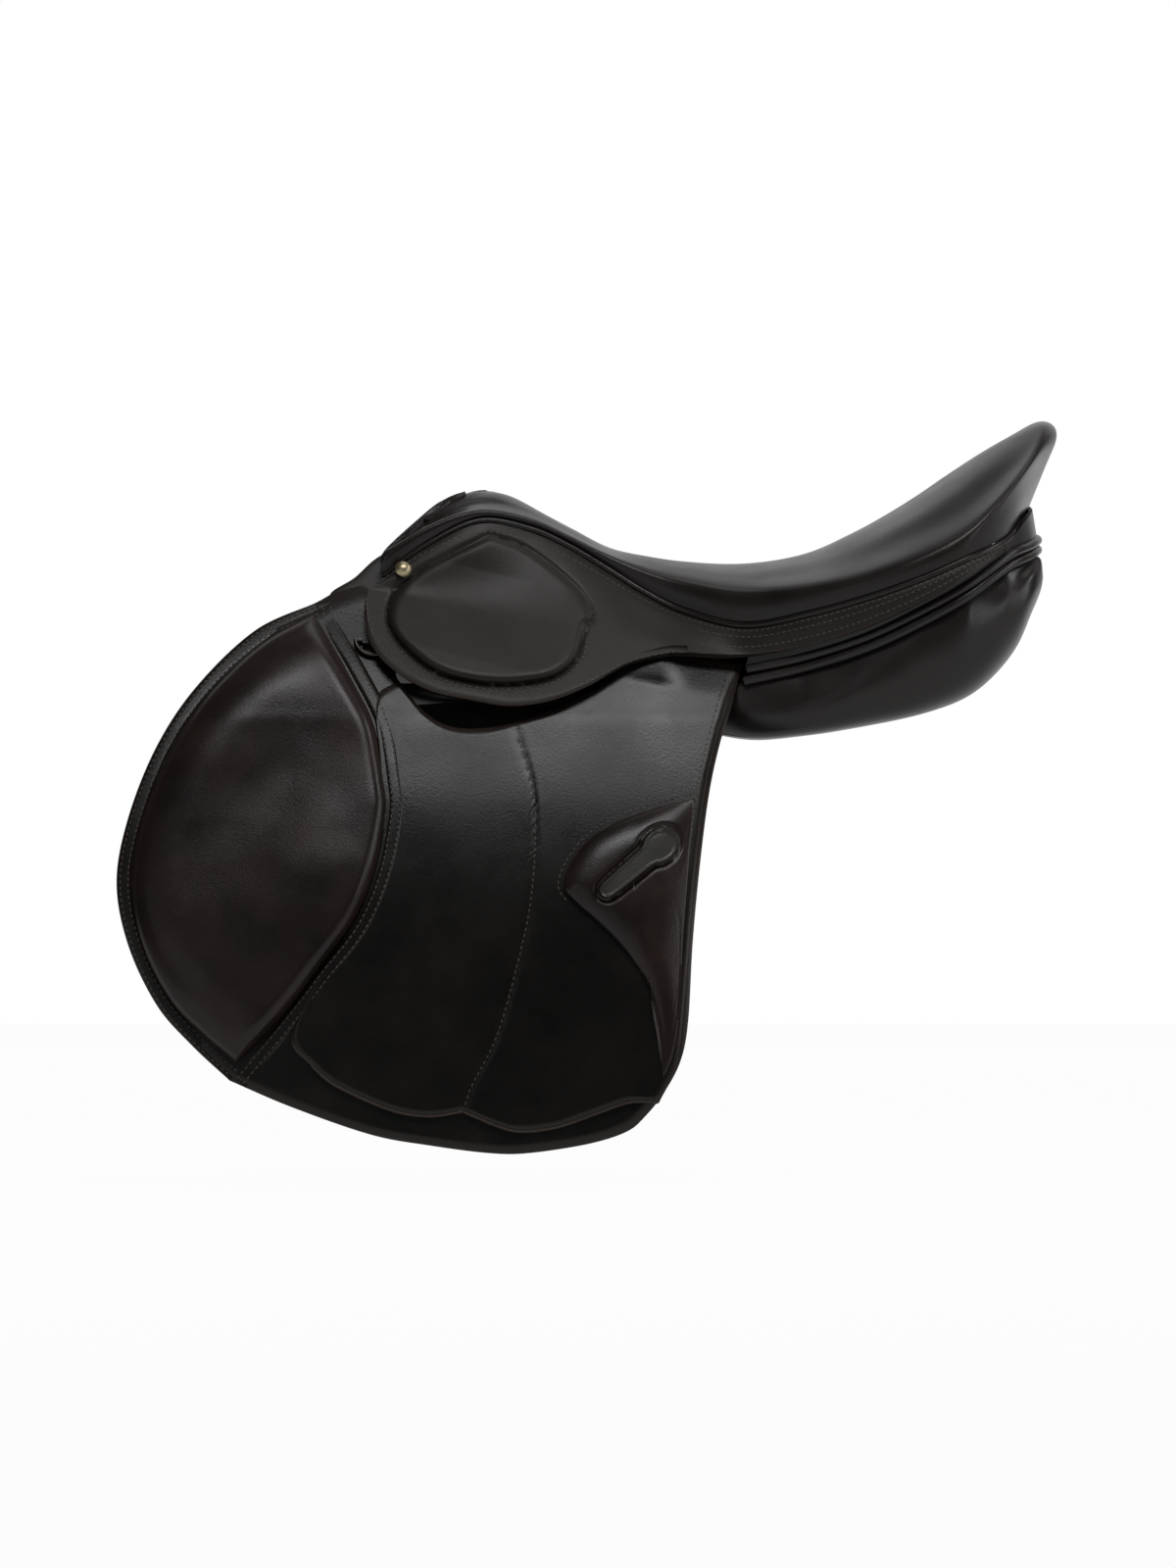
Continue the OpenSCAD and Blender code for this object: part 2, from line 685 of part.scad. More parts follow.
// Front dee on a loop at the top of the flap
dee_at = [-219, 58];
dee_slope = 33;
dee_stand = 2.7;
dee_loop_w = 14;
dee_loop_t = 4.8;
dee_loop_h = 8;

module dee_frame() {
    translate([dee_at.x, -flap_out(dee_at.x, dee_at.y), dee_at.y]) rotate([-dee_slope, 0, 0]) children();
}

module left_dee_loop() {
    color(leather) dee_frame()
        difference() {
            translate([-dee_loop_w / 2, -dee_stand - dee_loop_t / 2, -dee_loop_h / 2])
                cube([dee_loop_w, dee_loop_t, dee_loop_h]);
            translate([0, -dee_stand, 0])
                rotate([0, 90, 0])
                cylinder(d = dee_d + pin_gap, h = 2 * dee_loop_w, center = true);
        }
}

module left_dee() {
    r = (dee_w + dee_d) / 2;
    color(brass) dee_frame() translate([0, -dee_stand, 0]) {
        rotate([0, 90, 0]) cylinder(d = dee_d, h = 2 * r, center = true);
        rotate([90, 0, 0])
            rotate([0, 0, 180])
            rotate_extrude(angle = 180)
            translate([r, 0])
            circle(d = dee_d);
    }
}

// Billets: straps that hang from the girth webs between sweat flap and flap.
// Their frame has z up along the strap and -y outward
billet_slope = 17.9;
billet_top = [-84, 35];
billet_up = 12;
front_billet_x = -92;
rear_billet_x = -42;
billet_tip = 14;
first_hole = 24;
guard_wall = 2.5;
guard_fit = 0.5;
guard_side = 9;
guard_top = -70;
guard_h = 95;
sweat_t = 3;
sweat_in = billet_t + guard_fit + guard_wall + 1.5;

module billet_frame(x) {
    translate([x, billet_top.x, billet_top.y]) rotate([-billet_slope, 0, 0]) children();
}

module billet(x) {
    color(leather) billet_frame(x)
        difference() {
            translate([0, billet_t, 0])
                rotate([90, 0, 0])
                linear_extrude(billet_t)
                polygon([[-billet_w / 2, billet_up], [-billet_w / 2, billet_tip - billet_l],
                    [-billet_w / 5, -billet_l], [billet_w / 5, -billet_l],
                    [billet_w / 2, billet_tip - billet_l], [billet_w / 2, billet_up]]);
            for (k = [0 : hole_count - 1])
                translate([0, -1, first_hole + k * hole_pitch - billet_l])
                    rotate([-90, 0, 0])
                    cylinder(d = hole_d, h = billet_t + 2);
        }
}

module left_front_billet() { billet(front_billet_x); }
module left_rear_billet() { billet(rear_billet_x); }

// Buckle guard: a flat sleeve that slides on both billets
module left_buckle_guard() {
    inside_w = rear_billet_x - front_billet_x + billet_w + 2 * guard_side;
    inside_t = billet_t + 2 * guard_fit;
    color(leather) billet_frame((front_billet_x + rear_billet_x) / 2)
        difference() {
            translate([-inside_w / 2 - guard_wall, -guard_fit - guard_wall, guard_top - guard_h])
                cube([inside_w + 2 * guard_wall, inside_t + 2 * guard_wall, guard_h]);
            translate([-inside_w / 2, -guard_fit, guard_top - guard_h - 1])
                cube([inside_w, inside_t, guard_h + 2]);
        }
}

// Sweat flap: flat sheet between the billets and the panel, drawn in x and down the slope
sweat_outline = closed_curve(flap_points([[-200, -17], [-232, -40], [-268, -80], [-290, -130], [-288, -170],
    [-262, -212], [-215, -246], [-150, -266], [-80, -262], [-46, -235], [-36, -160], [-26, -80], [-10, -18],
    [-100, -16]]), 3);

module left_sweat_flap() {
    color(leather) billet_frame(0)
        translate([0, sweat_in + sweat_t, 0])
        rotate([90, 0, 0])
        linear_extrude(sweat_t)
        polygon(sweat_outline);
}

// Webs: the girth webs cross over the rails and hold the billets, the seat web carries the foam
web_t = 1.6;
web_w = 26;
web_clear = 0.3;
web_shoulder = 1.5;
web_tail = 30;

module girth_web(x) {
    top = max(rail_z(x - web_w / 2), rail_z(x + web_w / 2)) + web_clear + web_t;
    shoulder = rail_y(x) + rail_w / 2 + web_shoulder;
    tan_slope = tan(billet_slope);
    back = (billet_t + 0.3) / cos(billet_slope);
    bend = [-billet_top.x - back - 10 * tan_slope, billet_top.y + 10];
    tail = [bend.x + web_tail * tan_slope, bend.y - web_tail];
    half = [[0, top], [shoulder, top], bend, tail];
    inside = [tail - [web_t, 0], bend - [web_t, 0.8], [shoulder - web_t, top - web_t], [0, top - web_t]];
    side = concat(half, inside);
    color(webbing)
        translate([x - web_w / 2, 0, 0])
        rotate([90, 0, 90])
        linear_extrude(web_w)
        union() {
            polygon(side);
            polygon([for (p = side) [-p.x, p.y]]);
        }
}

module front_girth_web() { girth_web(front_billet_x); }
module rear_girth_web() { girth_web(rear_billet_x); }

seat_web_half = 22;
seat_web_line = open_curve([for (p = [[-150, 113], [-102, 101], [-64, 97], [-13, 88.5], [26, 87.5], [66, 97],
    [97, 110], [125, 119], [139, 120]]) [rear_x(p.x), p.y]], 2);

module seat_web() {
    color(webbing)
        rotate([90, 0, 0])
        linear_extrude(2 * seat_web_half, center = true)
        polygon(concat(seat_web_line,
            [for (k = [len(seat_web_line) - 1 : -1 : 0]) seat_web_line[k] - [0, web_t]]));
}

// Panels: stations with x, the middle in y and z, half width, half depth and slope
panel_drawn = [
    [-206, 42, 36, 15, 8, 50],
    [-180, 43, 33, 23, 12, 48],
    [-120, 44, 30, 25, 13, 46],
    [-60, 48, 29, 28, 17, 41],
    [-10, 52.2, 24, 29, 15, 37],
    [30, 65, 22, 39, 18, 32],
    [70, 76, 30, 46, 22, 27],
    [110, 79, 40, 46, 23, 22],
    [150, 78, 54, 45, 24, 17],
    [180, 75, 71, 42, 25, 12],
    [204, 70, 92, 34, 23, 5],
    [217, 64, 108, 18, 13, 0]
];
panel_sides = 14;
panel_power = 2.6;
panel_stations = open_curve(panel_drawn, 2);
function rounded(c) = sign(c) * pow(abs(c), 2 / panel_power);

module left_panel() {
    color(leather)
        loft([for (s = panel_stations)
            let (across = [0, -cos(s[5]), -sin(s[5])], up = [0, -sin(s[5]), cos(s[5])],
                 middle = [rear_x(s[0]), -side_y(s[0], s[1]), s[2]])
            [for (i = [0 : panel_sides - 1])
                let (a = 360 * i / panel_sides)
                middle + s[3] * rounded(cos(a)) * across + s[4] * rounded(sin(a)) * up]]);
}

// Facing between the panel and the skirt's band, and the piping along its lower edge
facing_t = 2.5;
facing_tuck = 5;
facing_fit = 1.3;
facing_tip_x = 190;
welt_r = 2;
welt_line = [[26, 96, 38], [64, 107, 44], [105, 121, 57], [141, 128, 74], [172, 126, 91], [199, 101, 111]];
welt_path = open_curve([for (p = welt_line) side_point(p.x, p.y, p.z)], 2);
facing_top = open_curve([for (p = band_low)
    let (rise = p.x < facing_tip_x ? facing_tuck : -facing_tuck / 2)
    side_point(p.x, p.y, p.z) + [0, skirt_t + facing_fit, rise]], 2);

module left_panel_facing() {
    outer = [for (f = [0, 0.5, 1]) [for (k = [0 : len(facing_top) - 1])
        mix(facing_top[k], welt_path[k] + [0, 0, welt_r + 0.5], f)]];
    inner = [for (r = outer) [for (p = r) p + [0, facing_t, 0]]];
    color(leather) sheet(outer, inner);
}

module left_panel_welt() {
    color(leather) cord(welt_path, welt_r, 6);
}

// Leather over the front of the head
pommel_facing_t = 3;

module pommel_facing() {
    color(leather)
        head_piece(arch_r - plate_t - bar_fit, arch_t - 1, arch_leg - 6,
            -pommel_facing_t - bar_fit, pommel_facing_t);
}

// Leather under the tree, above the channel between the panels
lining_t = 1.5;
lining_lap = 2.5;
lining_to_x = 80;

module gullet_lining() {
    reach = 400;
    drop = rail_t + bar_fit;
    edge = [for (p = rail_middle)
        if (p.x > spring_from_x && p.x < rear_x(lining_to_x)) [p.x, p.y - rail_w / 2 + lining_lap]];
    color(leather)
        intersection() {
            rotate([90, 0, 0])
                linear_extrude(reach, center = true)
                polygon(concat([for (p = rail_top) p - [0, drop]],
                    [for (k = [len(rail_top) - 1 : -1 : 0]) rail_top[k] - [0, drop + lining_t]]));
            translate([0, 0, -reach / 2])
                linear_extrude(reach)
                polygon(concat([for (p = edge) [p.x, -p.y]],
                    [for (k = [len(edge) - 1 : -1 : 0]) edge[k]]));
        }
}

module right_spring() { on_right() left_spring(); }
module right_stirrup_bar() { on_right() left_stirrup_bar(); }
module right_catch() { on_right() left_catch(); }
module right_piping() { on_right() left_piping(); }
module right_upper_skirt() { on_right() left_upper_skirt(); }
module right_skirt() { on_right() left_skirt(); }
module right_flap() { on_right() left_flap(); }
module right_overlay() { on_right() left_overlay(); }
module right_knee_pad() { on_right() left_knee_pad(); }
module right_thigh_pad() { on_right() left_thigh_pad(); }
module right_tag() { on_right() left_tag(); }
module right_dee_loop() { on_right() left_dee_loop(); }
module right_dee() { on_right() left_dee(); }
module right_front_billet() { on_right() left_front_billet(); }
module right_rear_billet() { on_right() left_rear_billet(); }
module right_buckle_guard() { on_right() left_buckle_guard(); }
module right_sweat_flap() { on_right() left_sweat_flap(); }
module right_panel() { on_right() left_panel(); }
module right_panel_facing() { on_right() left_panel_facing(); }
module right_panel_welt() { on_right() left_panel_welt(); }

tree();
head_plate();
gullet_plate();
left_spring();
right_spring();
tree_rivets();
left_stirrup_bar();
right_stirrup_bar();
bar_rivets();
left_catch();
right_catch();
catch_pins();
front_girth_web();
rear_girth_web();
seat_web();
seat_foam();
seat_cover();
left_piping();
right_piping();
saddle_nails();
left_upper_skirt();
right_upper_skirt();
left_skirt();
right_skirt();
left_flap();
right_flap();
left_overlay();
right_overlay();
left_knee_pad();
right_knee_pad();
left_thigh_pad();
right_thigh_pad();
left_tag();
right_tag();
left_dee_loop();
right_dee_loop();
left_dee();
right_dee();
left_front_billet();
right_front_billet();
left_rear_billet();
right_rear_billet();
left_buckle_guard();
right_buckle_guard();
left_sweat_flap();
right_sweat_flap();
left_panel();
right_panel();
left_panel_facing();
right_panel_facing();
left_panel_welt();
right_panel_welt();
pommel_facing();
gullet_lining();
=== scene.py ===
import math

import bmesh
import bpy
import numpy as np
from mathutils import Matrix, Vector, noise


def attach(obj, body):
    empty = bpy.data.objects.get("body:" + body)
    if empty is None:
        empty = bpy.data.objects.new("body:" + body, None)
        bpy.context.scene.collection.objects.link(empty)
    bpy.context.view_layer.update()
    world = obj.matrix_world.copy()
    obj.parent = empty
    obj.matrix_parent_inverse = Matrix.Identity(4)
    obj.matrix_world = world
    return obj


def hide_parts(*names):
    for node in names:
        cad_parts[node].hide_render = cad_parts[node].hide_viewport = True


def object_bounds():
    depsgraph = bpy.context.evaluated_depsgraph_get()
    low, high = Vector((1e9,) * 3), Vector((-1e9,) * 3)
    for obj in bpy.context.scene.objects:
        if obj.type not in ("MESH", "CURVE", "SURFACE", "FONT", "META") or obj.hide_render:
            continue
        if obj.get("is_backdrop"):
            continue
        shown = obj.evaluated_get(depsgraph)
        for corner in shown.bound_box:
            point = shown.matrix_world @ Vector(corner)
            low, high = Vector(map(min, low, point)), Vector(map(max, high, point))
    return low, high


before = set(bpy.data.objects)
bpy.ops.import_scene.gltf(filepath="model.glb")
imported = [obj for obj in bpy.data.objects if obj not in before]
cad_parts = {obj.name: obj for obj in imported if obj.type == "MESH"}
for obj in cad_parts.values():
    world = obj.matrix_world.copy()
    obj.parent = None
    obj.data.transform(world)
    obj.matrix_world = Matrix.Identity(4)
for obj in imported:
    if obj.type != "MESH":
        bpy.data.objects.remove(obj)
cad_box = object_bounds()

# Studio
# The saddle is seen square on from its left, as on a rack, with a long lens. It stands in a white room over
# a pale floor, with a soft key light high in front and weaker lights above, behind and ahead.
MM = 0.001
VIEW_MIDDLE = Vector((-77.4, -95.0, -35.5)) * MM
VIEW_HEIGHT = 1032 * MM
CAMERA_DISTANCE = 9.0
CLIP_END = 50.0
SENSOR = 36.0
FLOOR_Z = -300 * MM
FLOOR_SIZE = 12.0
FLOOR_SHADE = 0.03
ROOM_LIGHT = 0.09
# Name, place, aim and size in metres, and power in watts.
SOFTBOXES = [
    ("key_light", (0.05, -1.15, 1.75), (-0.08, -0.12, 0.03), (1.3, 0.5), 25.0),
    ("top_light", (0.15, 0.5, 1.8), (0.0, 0.0, 0.1), (1.4, 0.8), 5.0),
    ("side_light", (1.9, -0.35, 0.7), (0.15, -0.05, 0.05), (0.7, 1.0), 9.0),
    ("ridge_light", (1.75, 0.2, 1.5), (0.18, -0.08, 0.14), (0.5, 0.4), 6.0),
    ("panel_light", (1.7, -1.4, 0.45), (0.18, -0.12, 0.08), (0.4, 0.7), 4.5),
    ("rear_light", (0.0, 4.0, 1.4), (0.0, 0.0, 0.1), (6.0, 4.0), 52.0),
    ("front_light", (-1.4, -2.4, 0.6), (-0.15, -0.1, -0.05), (1.2, 1.2), 3.6)]

scene = bpy.context.scene
camera = bpy.data.objects.new("camera", bpy.data.cameras.new("camera"))
camera.data.sensor_width = SENSOR
camera.data.lens = SENSOR * CAMERA_DISTANCE / VIEW_HEIGHT
camera.data.clip_end = CLIP_END
camera.location = VIEW_MIDDLE - Vector((0, CAMERA_DISTANCE, 0))
camera.rotation_euler = (math.radians(90), 0, 0)
scene.collection.objects.link(camera)
scene.camera = camera
scene.view_settings.view_transform = "Standard"

for name, spot, aim, size, power in SOFTBOXES:
    lamp = bpy.data.lights.new(name, "AREA")
    lamp.shape = "RECTANGLE"
    lamp.size, lamp.size_y = size
    lamp.energy = power
    holder = bpy.data.objects.new(name, lamp)
    holder.location = spot
    holder.rotation_euler = (Vector(aim) - Vector(spot)).to_track_quat("-Z", "Y").to_euler()
    holder.visible_camera = False
    scene.collection.objects.link(holder)


def add(tree, kind, links=None, **settings):
    """Adds a node with its properties or input values, and links its inputs to their sources."""
    node = tree.nodes.new("ShaderNode" + kind)
    for key, value in settings.items():
        if hasattr(node, key):
            setattr(node, key, value)
        else:
            node.inputs[key.replace("_", " ")].default_value = value
    for socket, source in (links or {}).items():
        tree.links.new(source, node.inputs[socket])
    return node


def linear(hex_colour):
    """Linear colour of an sRGB hex value."""
    parts = [int(hex_colour[k:k + 2], 16) / 255 for k in (1, 3, 5)]
    return [c / 12.92 if c <= 0.04045 else ((c + 0.055) / 1.055) ** 2.4 for c in parts] + [1.0]


def new_material(name):
    """An empty node material with its output."""
    material = bpy.data.materials.new(name)
    material.use_nodes = True
    material.node_tree.nodes.clear()
    return material, material.node_tree, add(material.node_tree, "OutputMaterial")


# The floor is white to the eye and in reflections, and keeps a trace of the shade that falls on it.
floor_white, tree, output = new_material("floor_white")
rays = add(tree, "LightPath").outputs
seen = add(tree, "Math", {0: rays["Is Camera Ray"], 1: rays["Is Glossy Ray"]}, operation="MAXIMUM")
seen = add(tree, "Math", {0: seen.outputs[0], 1: rays["Is Transmission Ray"]}, operation="MAXIMUM")
share = add(tree, "Math", {0: seen.outputs[0]}, operation="MULTIPLY")
share.inputs[1].default_value = 1 - FLOOR_SHADE
paper = add(tree, "BsdfDiffuse", Color=linear("#b4b4b2"))
glow = add(tree, "Emission", Color=(1, 1, 1, 1), Strength=1.0)
mixed = add(tree, "MixShader", {0: share.outputs[0], 1: paper.outputs[0], 2: glow.outputs[0]})
tree.links.new(mixed.outputs[0], output.inputs["Surface"])

bm = bmesh.new()
bmesh.ops.create_grid(bm, x_segments=1, y_segments=1, size=FLOOR_SIZE / 2,
                      matrix=Matrix.Translation((0, 0, FLOOR_Z)))
mesh = bpy.data.meshes.new("floor")
bm.to_mesh(mesh)
bm.free()
mesh.materials.append(floor_white)
floor = bpy.data.objects.new("floor", mesh)
scene.collection.objects.link(floor)
floor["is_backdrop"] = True

# The room is white to the eye, and lights the leather only faintly, so that its blacks stay deep.
world = bpy.data.worlds.new("studio")
scene.world = world
world.use_nodes = True
tree = world.node_tree
level = add(tree, "MapRange", {"Value": add(tree, "LightPath").outputs["Is Camera Ray"]})
level.inputs["To Min"].default_value = ROOM_LIGHT
level.inputs["To Max"].default_value = 1.0
tree.nodes["Background"].inputs["Color"].default_value = (1, 1, 1, 1)
tree.links.new(level.outputs[0], tree.nodes["Background"].inputs["Strength"])


# Tree
# The frame of the saddle, with its head arch, rails and cantle: beech laminations glued in a mould and
# sealed with a dark lacquer. From here on, sizes and places are in mm.
LAYER = 9.0
WOOD_GRAIN = 2.5
WELD = 0.005
EASE_ANGLE = math.radians(40)


def two_tones(tree, value, dark, light):
    """A ramp between two sRGB hex colours."""
    tones = add(tree, "ValToRGB", {"Fac": value})
    tones.color_ramp.elements[0].color = linear(dark)
    tones.color_ramp.elements[1].color = linear(light)
    return tones


def cover(tree, output, links, **settings):
    """Gives a material its surface."""
    surface = add(tree, "BsdfPrincipled", links, **settings)
    tree.links.new(surface.outputs[0], output.inputs["Surface"])


def dress(material, names, rounding=0):
    """Gives CAD nodes a material and, where asked, eased edges in mm."""
    for name in names:
        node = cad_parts[name]
        for place in node.material_slots:
            place.material = material
        if rounding:
            weld = node.modifiers.new("weld", "WELD")
            weld.merge_threshold = WELD * MM
            ease = node.modifiers.new("ease", "BEVEL")
            ease.width = rounding * MM
            ease.segments = 2
            ease.limit_method = "ANGLE"
            ease.angle_limit = EASE_ANGLE


# Thin dark brown streaks, where layers and grain show through the half-glossy lacquer.
beech, tree, output = new_material("laminated_beech")
spot = add(tree, "TexCoord").outputs["Object"]
layers = add(tree, "TexWave", {"Vector": spot}, bands_direction="Z", Scale=1 / (LAYER * MM), Distortion=2.5,
             Detail=3.0)
grain = add(tree, "TexNoise", {"Vector": spot}, Scale=1 / (WOOD_GRAIN * MM), Detail=6.0)
streaks = add(tree, "Math", {0: layers.outputs["Fac"], 1: grain.outputs["Fac"]}, operation="MULTIPLY")
streaks = streaks.outputs[0]
tone = two_tones(tree, streaks, "#191310", "#33261c")
relief = add(tree, "Bump", {"Height": streaks}, Strength=0.2, Distance=0.3 * MM)
cover(tree, output, {"Base Color": tone.outputs[0], "Normal": relief.outputs[0]}, Roughness=0.45)
dress(beech, ["tree"])


# Metalwork
# Riveted to the tree: head and gullet plates and spring strips of zinced steel, and forged steel stirrup
# bars with their catches. A dee of darkened nickel and a nail of pale bronze show on each side.
BRUSHING = 0.8
CLOUD = 9.0


def both(*names):
    """Names of the left and right nodes."""
    return [f"{side}_{name}" for side in ("left", "right") for name in names]


def metal(name, dark, light, roughness):
    """Worked metal: fine brushing, with the tone and the gloss uneven from handling."""
    material, tree, output = new_material(name)
    spot = add(tree, "TexCoord").outputs["Object"]
    brushed = add(tree, "TexNoise", {"Vector": spot}, Scale=1 / (BRUSHING * MM), Detail=4.0).outputs["Fac"]
    cloud = add(tree, "TexNoise", {"Vector": spot}, Scale=1 / (CLOUD * MM), Detail=3.0)
    tone = two_tones(tree, cloud.outputs["Fac"], dark, light)
    gloss = add(tree, "MapRange", {"Value": brushed})
    gloss.inputs["To Min"].default_value = roughness - 0.08
    gloss.inputs["To Max"].default_value = roughness + 0.12
    relief = add(tree, "Bump", {"Height": brushed}, Strength=0.12, Distance=0.1 * MM)
    cover(tree, output, {"Base Color": tone.outputs[0], "Roughness": gloss.outputs[0],
                         "Normal": relief.outputs[0]}, Metallic=1.0)
    return material


dress(metal("zinced_steel", "#6e6e6a", "#94948f", 0.38),
      ["head_plate", "gullet_plate", "tree_rivets", "bar_rivets", "catch_pins"] + both("spring"))
dress(metal("forged_steel", "#55534f", "#7b7873", 0.34), both("stirrup_bar", "catch"))
dress(metal("dark_nickel", "#2c2a28", "#4a4643", 0.3), both("dee"))
dress(metal("pale_bronze", "#7d725a", "#a89c80", 0.36), ["saddle_nails"])


# Webs
# Plain-woven linen webbing, nailed over the tree: one web along the seat and two for the girth straps.
WEAVE = 5.0

# A fine check of crossing threads, dark and dull.
webbing, tree, output = new_material("linen_webbing")
spot = add(tree, "TexCoord").outputs["Object"]
warp = add(tree, "TexWave", {"Vector": spot}, bands_direction="X", Scale=1 / (WEAVE * MM))
weft = add(tree, "TexWave", {"Vector": spot}, bands_direction="Y", Scale=1 / (WEAVE * MM))
woven = add(tree, "Math", {0: warp.outputs["Fac"], 1: weft.outputs["Fac"]}, operation="MULTIPLY")
woven = woven.outputs[0]
tone = two_tones(tree, woven, "#15130f", "#332e25")
relief = add(tree, "Bump", {"Height": woven}, Strength=0.5, Distance=0.4 * MM)
cover(tree, output, {"Base Color": tone.outputs[0], "Normal": relief.outputs[0]}, Roughness=0.85)
dress(webbing, ["seat_web", "front_girth_web", "rear_girth_web"])


# Straps
# Bridle leather: two billets a side with punched holes, the guard over them, the sweat flap behind them
# and the loop of the front dee. They hang from the webs and lie in the shade of the flap.
STRAP_EASE = 0.5
STRAP_GRAIN = 0.9
GRAIN = 1.5
FINE_GRAIN = 0.9
MOTTLE = 55.0
RELIEF = 0.25
RUBBED = "#4e4038"


def leather(name, base, light, roughness, shine=0.2, coat=0.0, grain=GRAIN):
    """Dyed and waxed leather: a fine pebble of the given width in mm, satin, mottled by handling, and a
    little paler where the piece's wear attribute says that it is rubbed."""
    material, tree, output = new_material(name)
    spot = add(tree, "TexCoord").outputs["Object"]
    mottle = add(tree, "TexNoise", {"Vector": spot}, Scale=1 / (MOTTLE * MM), Detail=4.0, Roughness=0.6)
    pores = add(tree, "TexVoronoi", {"Vector": spot}, feature="SMOOTH_F1", Scale=1 / (grain * MM),
                Smoothness=0.6)
    fine = add(tree, "TexNoise", {"Vector": spot}, Scale=1 / (FINE_GRAIN * MM), Detail=3.0)
    tint = two_tones(tree, mottle.outputs["Fac"], base, light)
    tint.color_ramp.elements[0].position = 0.35
    tint.color_ramp.elements[1].position = 0.75
    wear = add(tree, "Attribute", attribute_name="wear")
    rubbed = add(tree, "Math", {0: wear.outputs["Fac"], 1: fine.outputs["Fac"]}, operation="MULTIPLY")
    worn = add(tree, "MixRGB", {"Fac": rubbed.outputs[0], "Color1": tint.outputs[0]}, Color2=linear(RUBBED))
    gloss = add(tree, "MapRange", {"Value": mottle.outputs["Fac"]}, From_Min=0.3, From_Max=0.7)
    gloss.inputs["To Min"].default_value = roughness - 0.05
    gloss.inputs["To Max"].default_value = roughness + 0.07
    height = add(tree, "Math", {0: pores.outputs["Distance"], 1: fine.outputs["Fac"]}, operation="ADD")
    relief = add(tree, "Bump", {"Height": height.outputs[0]}, Strength=0.18, Distance=RELIEF * MM)
    cover(tree, output, {"Base Color": worn.outputs[0], "Roughness": gloss.outputs[0],
                         "Normal": relief.outputs[0]},
          IOR=1.45, Specular_IOR_Level=shine, Coat_Weight=coat, Coat_Roughness=0.25)
    return material


strap_leather = leather("bridle_leather_straps", "#120f0d", "#1d1815", 0.42, grain=STRAP_GRAIN)
dress(strap_leather, both("front_billet", "rear_billet", "buckle_guard", "sweat_flap"), STRAP_EASE)
dress(strap_leather, both("dee_loop"))


# Foam under the seat leather
# A layer of moulded latex foam on the web and the tree. It lies under the sitting surface, from behind the
# head to the cantle.
BODY = "saddle_body"
SHARP_ANGLE = math.radians(48)
SAME_SPOT = 0.02
CURVE_STEPS = 16
COVER_T = 3.0
FOAM_GAP = 2.5
FOAM_START = 0.2
FOAM_T = 5.0
FOAM_COLUMNS = 160
FOAM_REACH = 4
FOAM_CELL = 1.2
SEAT_COLUMNS = 200
SEAT_ROWS = 96
STATION_STEP = 20
RIDGE_SINK = (0.6, 0.8)
WALL_BULGE = 4.0
BACK_LEAN = 15.0
RIDGE_SHARES = (0, 0.3, 0.6, 0.86)
# Angle round the wall, and for the cantle's back the share of its height and its swell.
WALL_STEPS = [(38, 0.2, 4.0), (64, 0.55, 3.0), (90, 1.0, 0.0)]
# Stations of the seat leather, from the front of the pommel round the side to the back of the cantle: x and
# z on the middle line, x, y and z on the ridge, x, y and z on the lower rim, and the middle line's slope.
SEAT = [(-146, 160.3, -160, 0, 157.3, -171, 0, 149, 0.0), (-145, 160.3, -168, 16, 152, -183, 22, 137, 0.0),
        (-143.5, 160, -189, 36, 134.5, -204, 44, 114, -0.05),
        (-142, 159.6, -200, 46, 122, -214, 55, 104, -0.08),
        (-138, 158.8, -172, 42, 138.5, -186, 54, 124, -0.2),
        (-126, 155, -146, 39, 147.5, -150, 50, 141, -0.4),
        (-106, 144.2, -116, 39, 142, -116, 48, 136, -0.5), (-87, 134, -90, 42, 130, -90, 49, 124.5, -0.48),
        (-64, 122, -64, 44, 117.5, -64, 52, 109, -0.36), (-39, 116, -39, 48, 109, -39, 59, 93.5, -0.18),
        (-13, 112.5, -13, 56, 103, -13, 70, 81, -0.1), (26, 111, 26, 74, 97, 26, 92, 71.6, 0.06),
        (66, 117.5, 68, 92, 100, 68, 112, 79, 0.3), (97, 131, 106, 106, 107, 105, 124, 89, 0.5),
        (124, 146, 142, 114, 120, 140, 131, 101, 0.6), (140, 156, 180, 110, 141, 172, 129, 115, 0.64),
        (149, 162, 218, 84, 178, 195, 107, 126, 0.66), (152, 164, 233, 44, 205, 209, 64, 139, 0.67),
        (155, 166, 235, 0, 212, 216, 0, 148, 0.68)]


def ramp(value, start, end):
    """Share of the way from start to end, held between 0 and 1."""
    return min(1.0, max(0.0, (value - start) / (end - start)))


def smooth_line(points, count):
    """Points spaced evenly on the smooth curve through the given ones."""
    p = np.array(points, float)
    p = np.vstack([2 * p[0] - p[1], p, 2 * p[-1] - p[-2]])
    dense = []
    for a, b, c, d in zip(p, p[1:], p[2:], p[3:]):
        for t in np.linspace(0, 1, CURVE_STEPS, endpoint=False):
            dense.append(0.5 * (2 * b + (c - a) * t + (2 * a - 5 * b + 4 * c - d) * t ** 2
                                + (3 * b - a - 3 * c + d) * t ** 3))
    dense = np.array(dense + [p[-2]])
    run = np.concatenate([[0], np.cumsum(np.linalg.norm(np.diff(dense, axis=0), axis=1))])
    marks = np.linspace(0, run[-1], count)
    return np.stack([np.interp(marks, run, dense[:, k]) for k in range(p.shape[1])], 1)


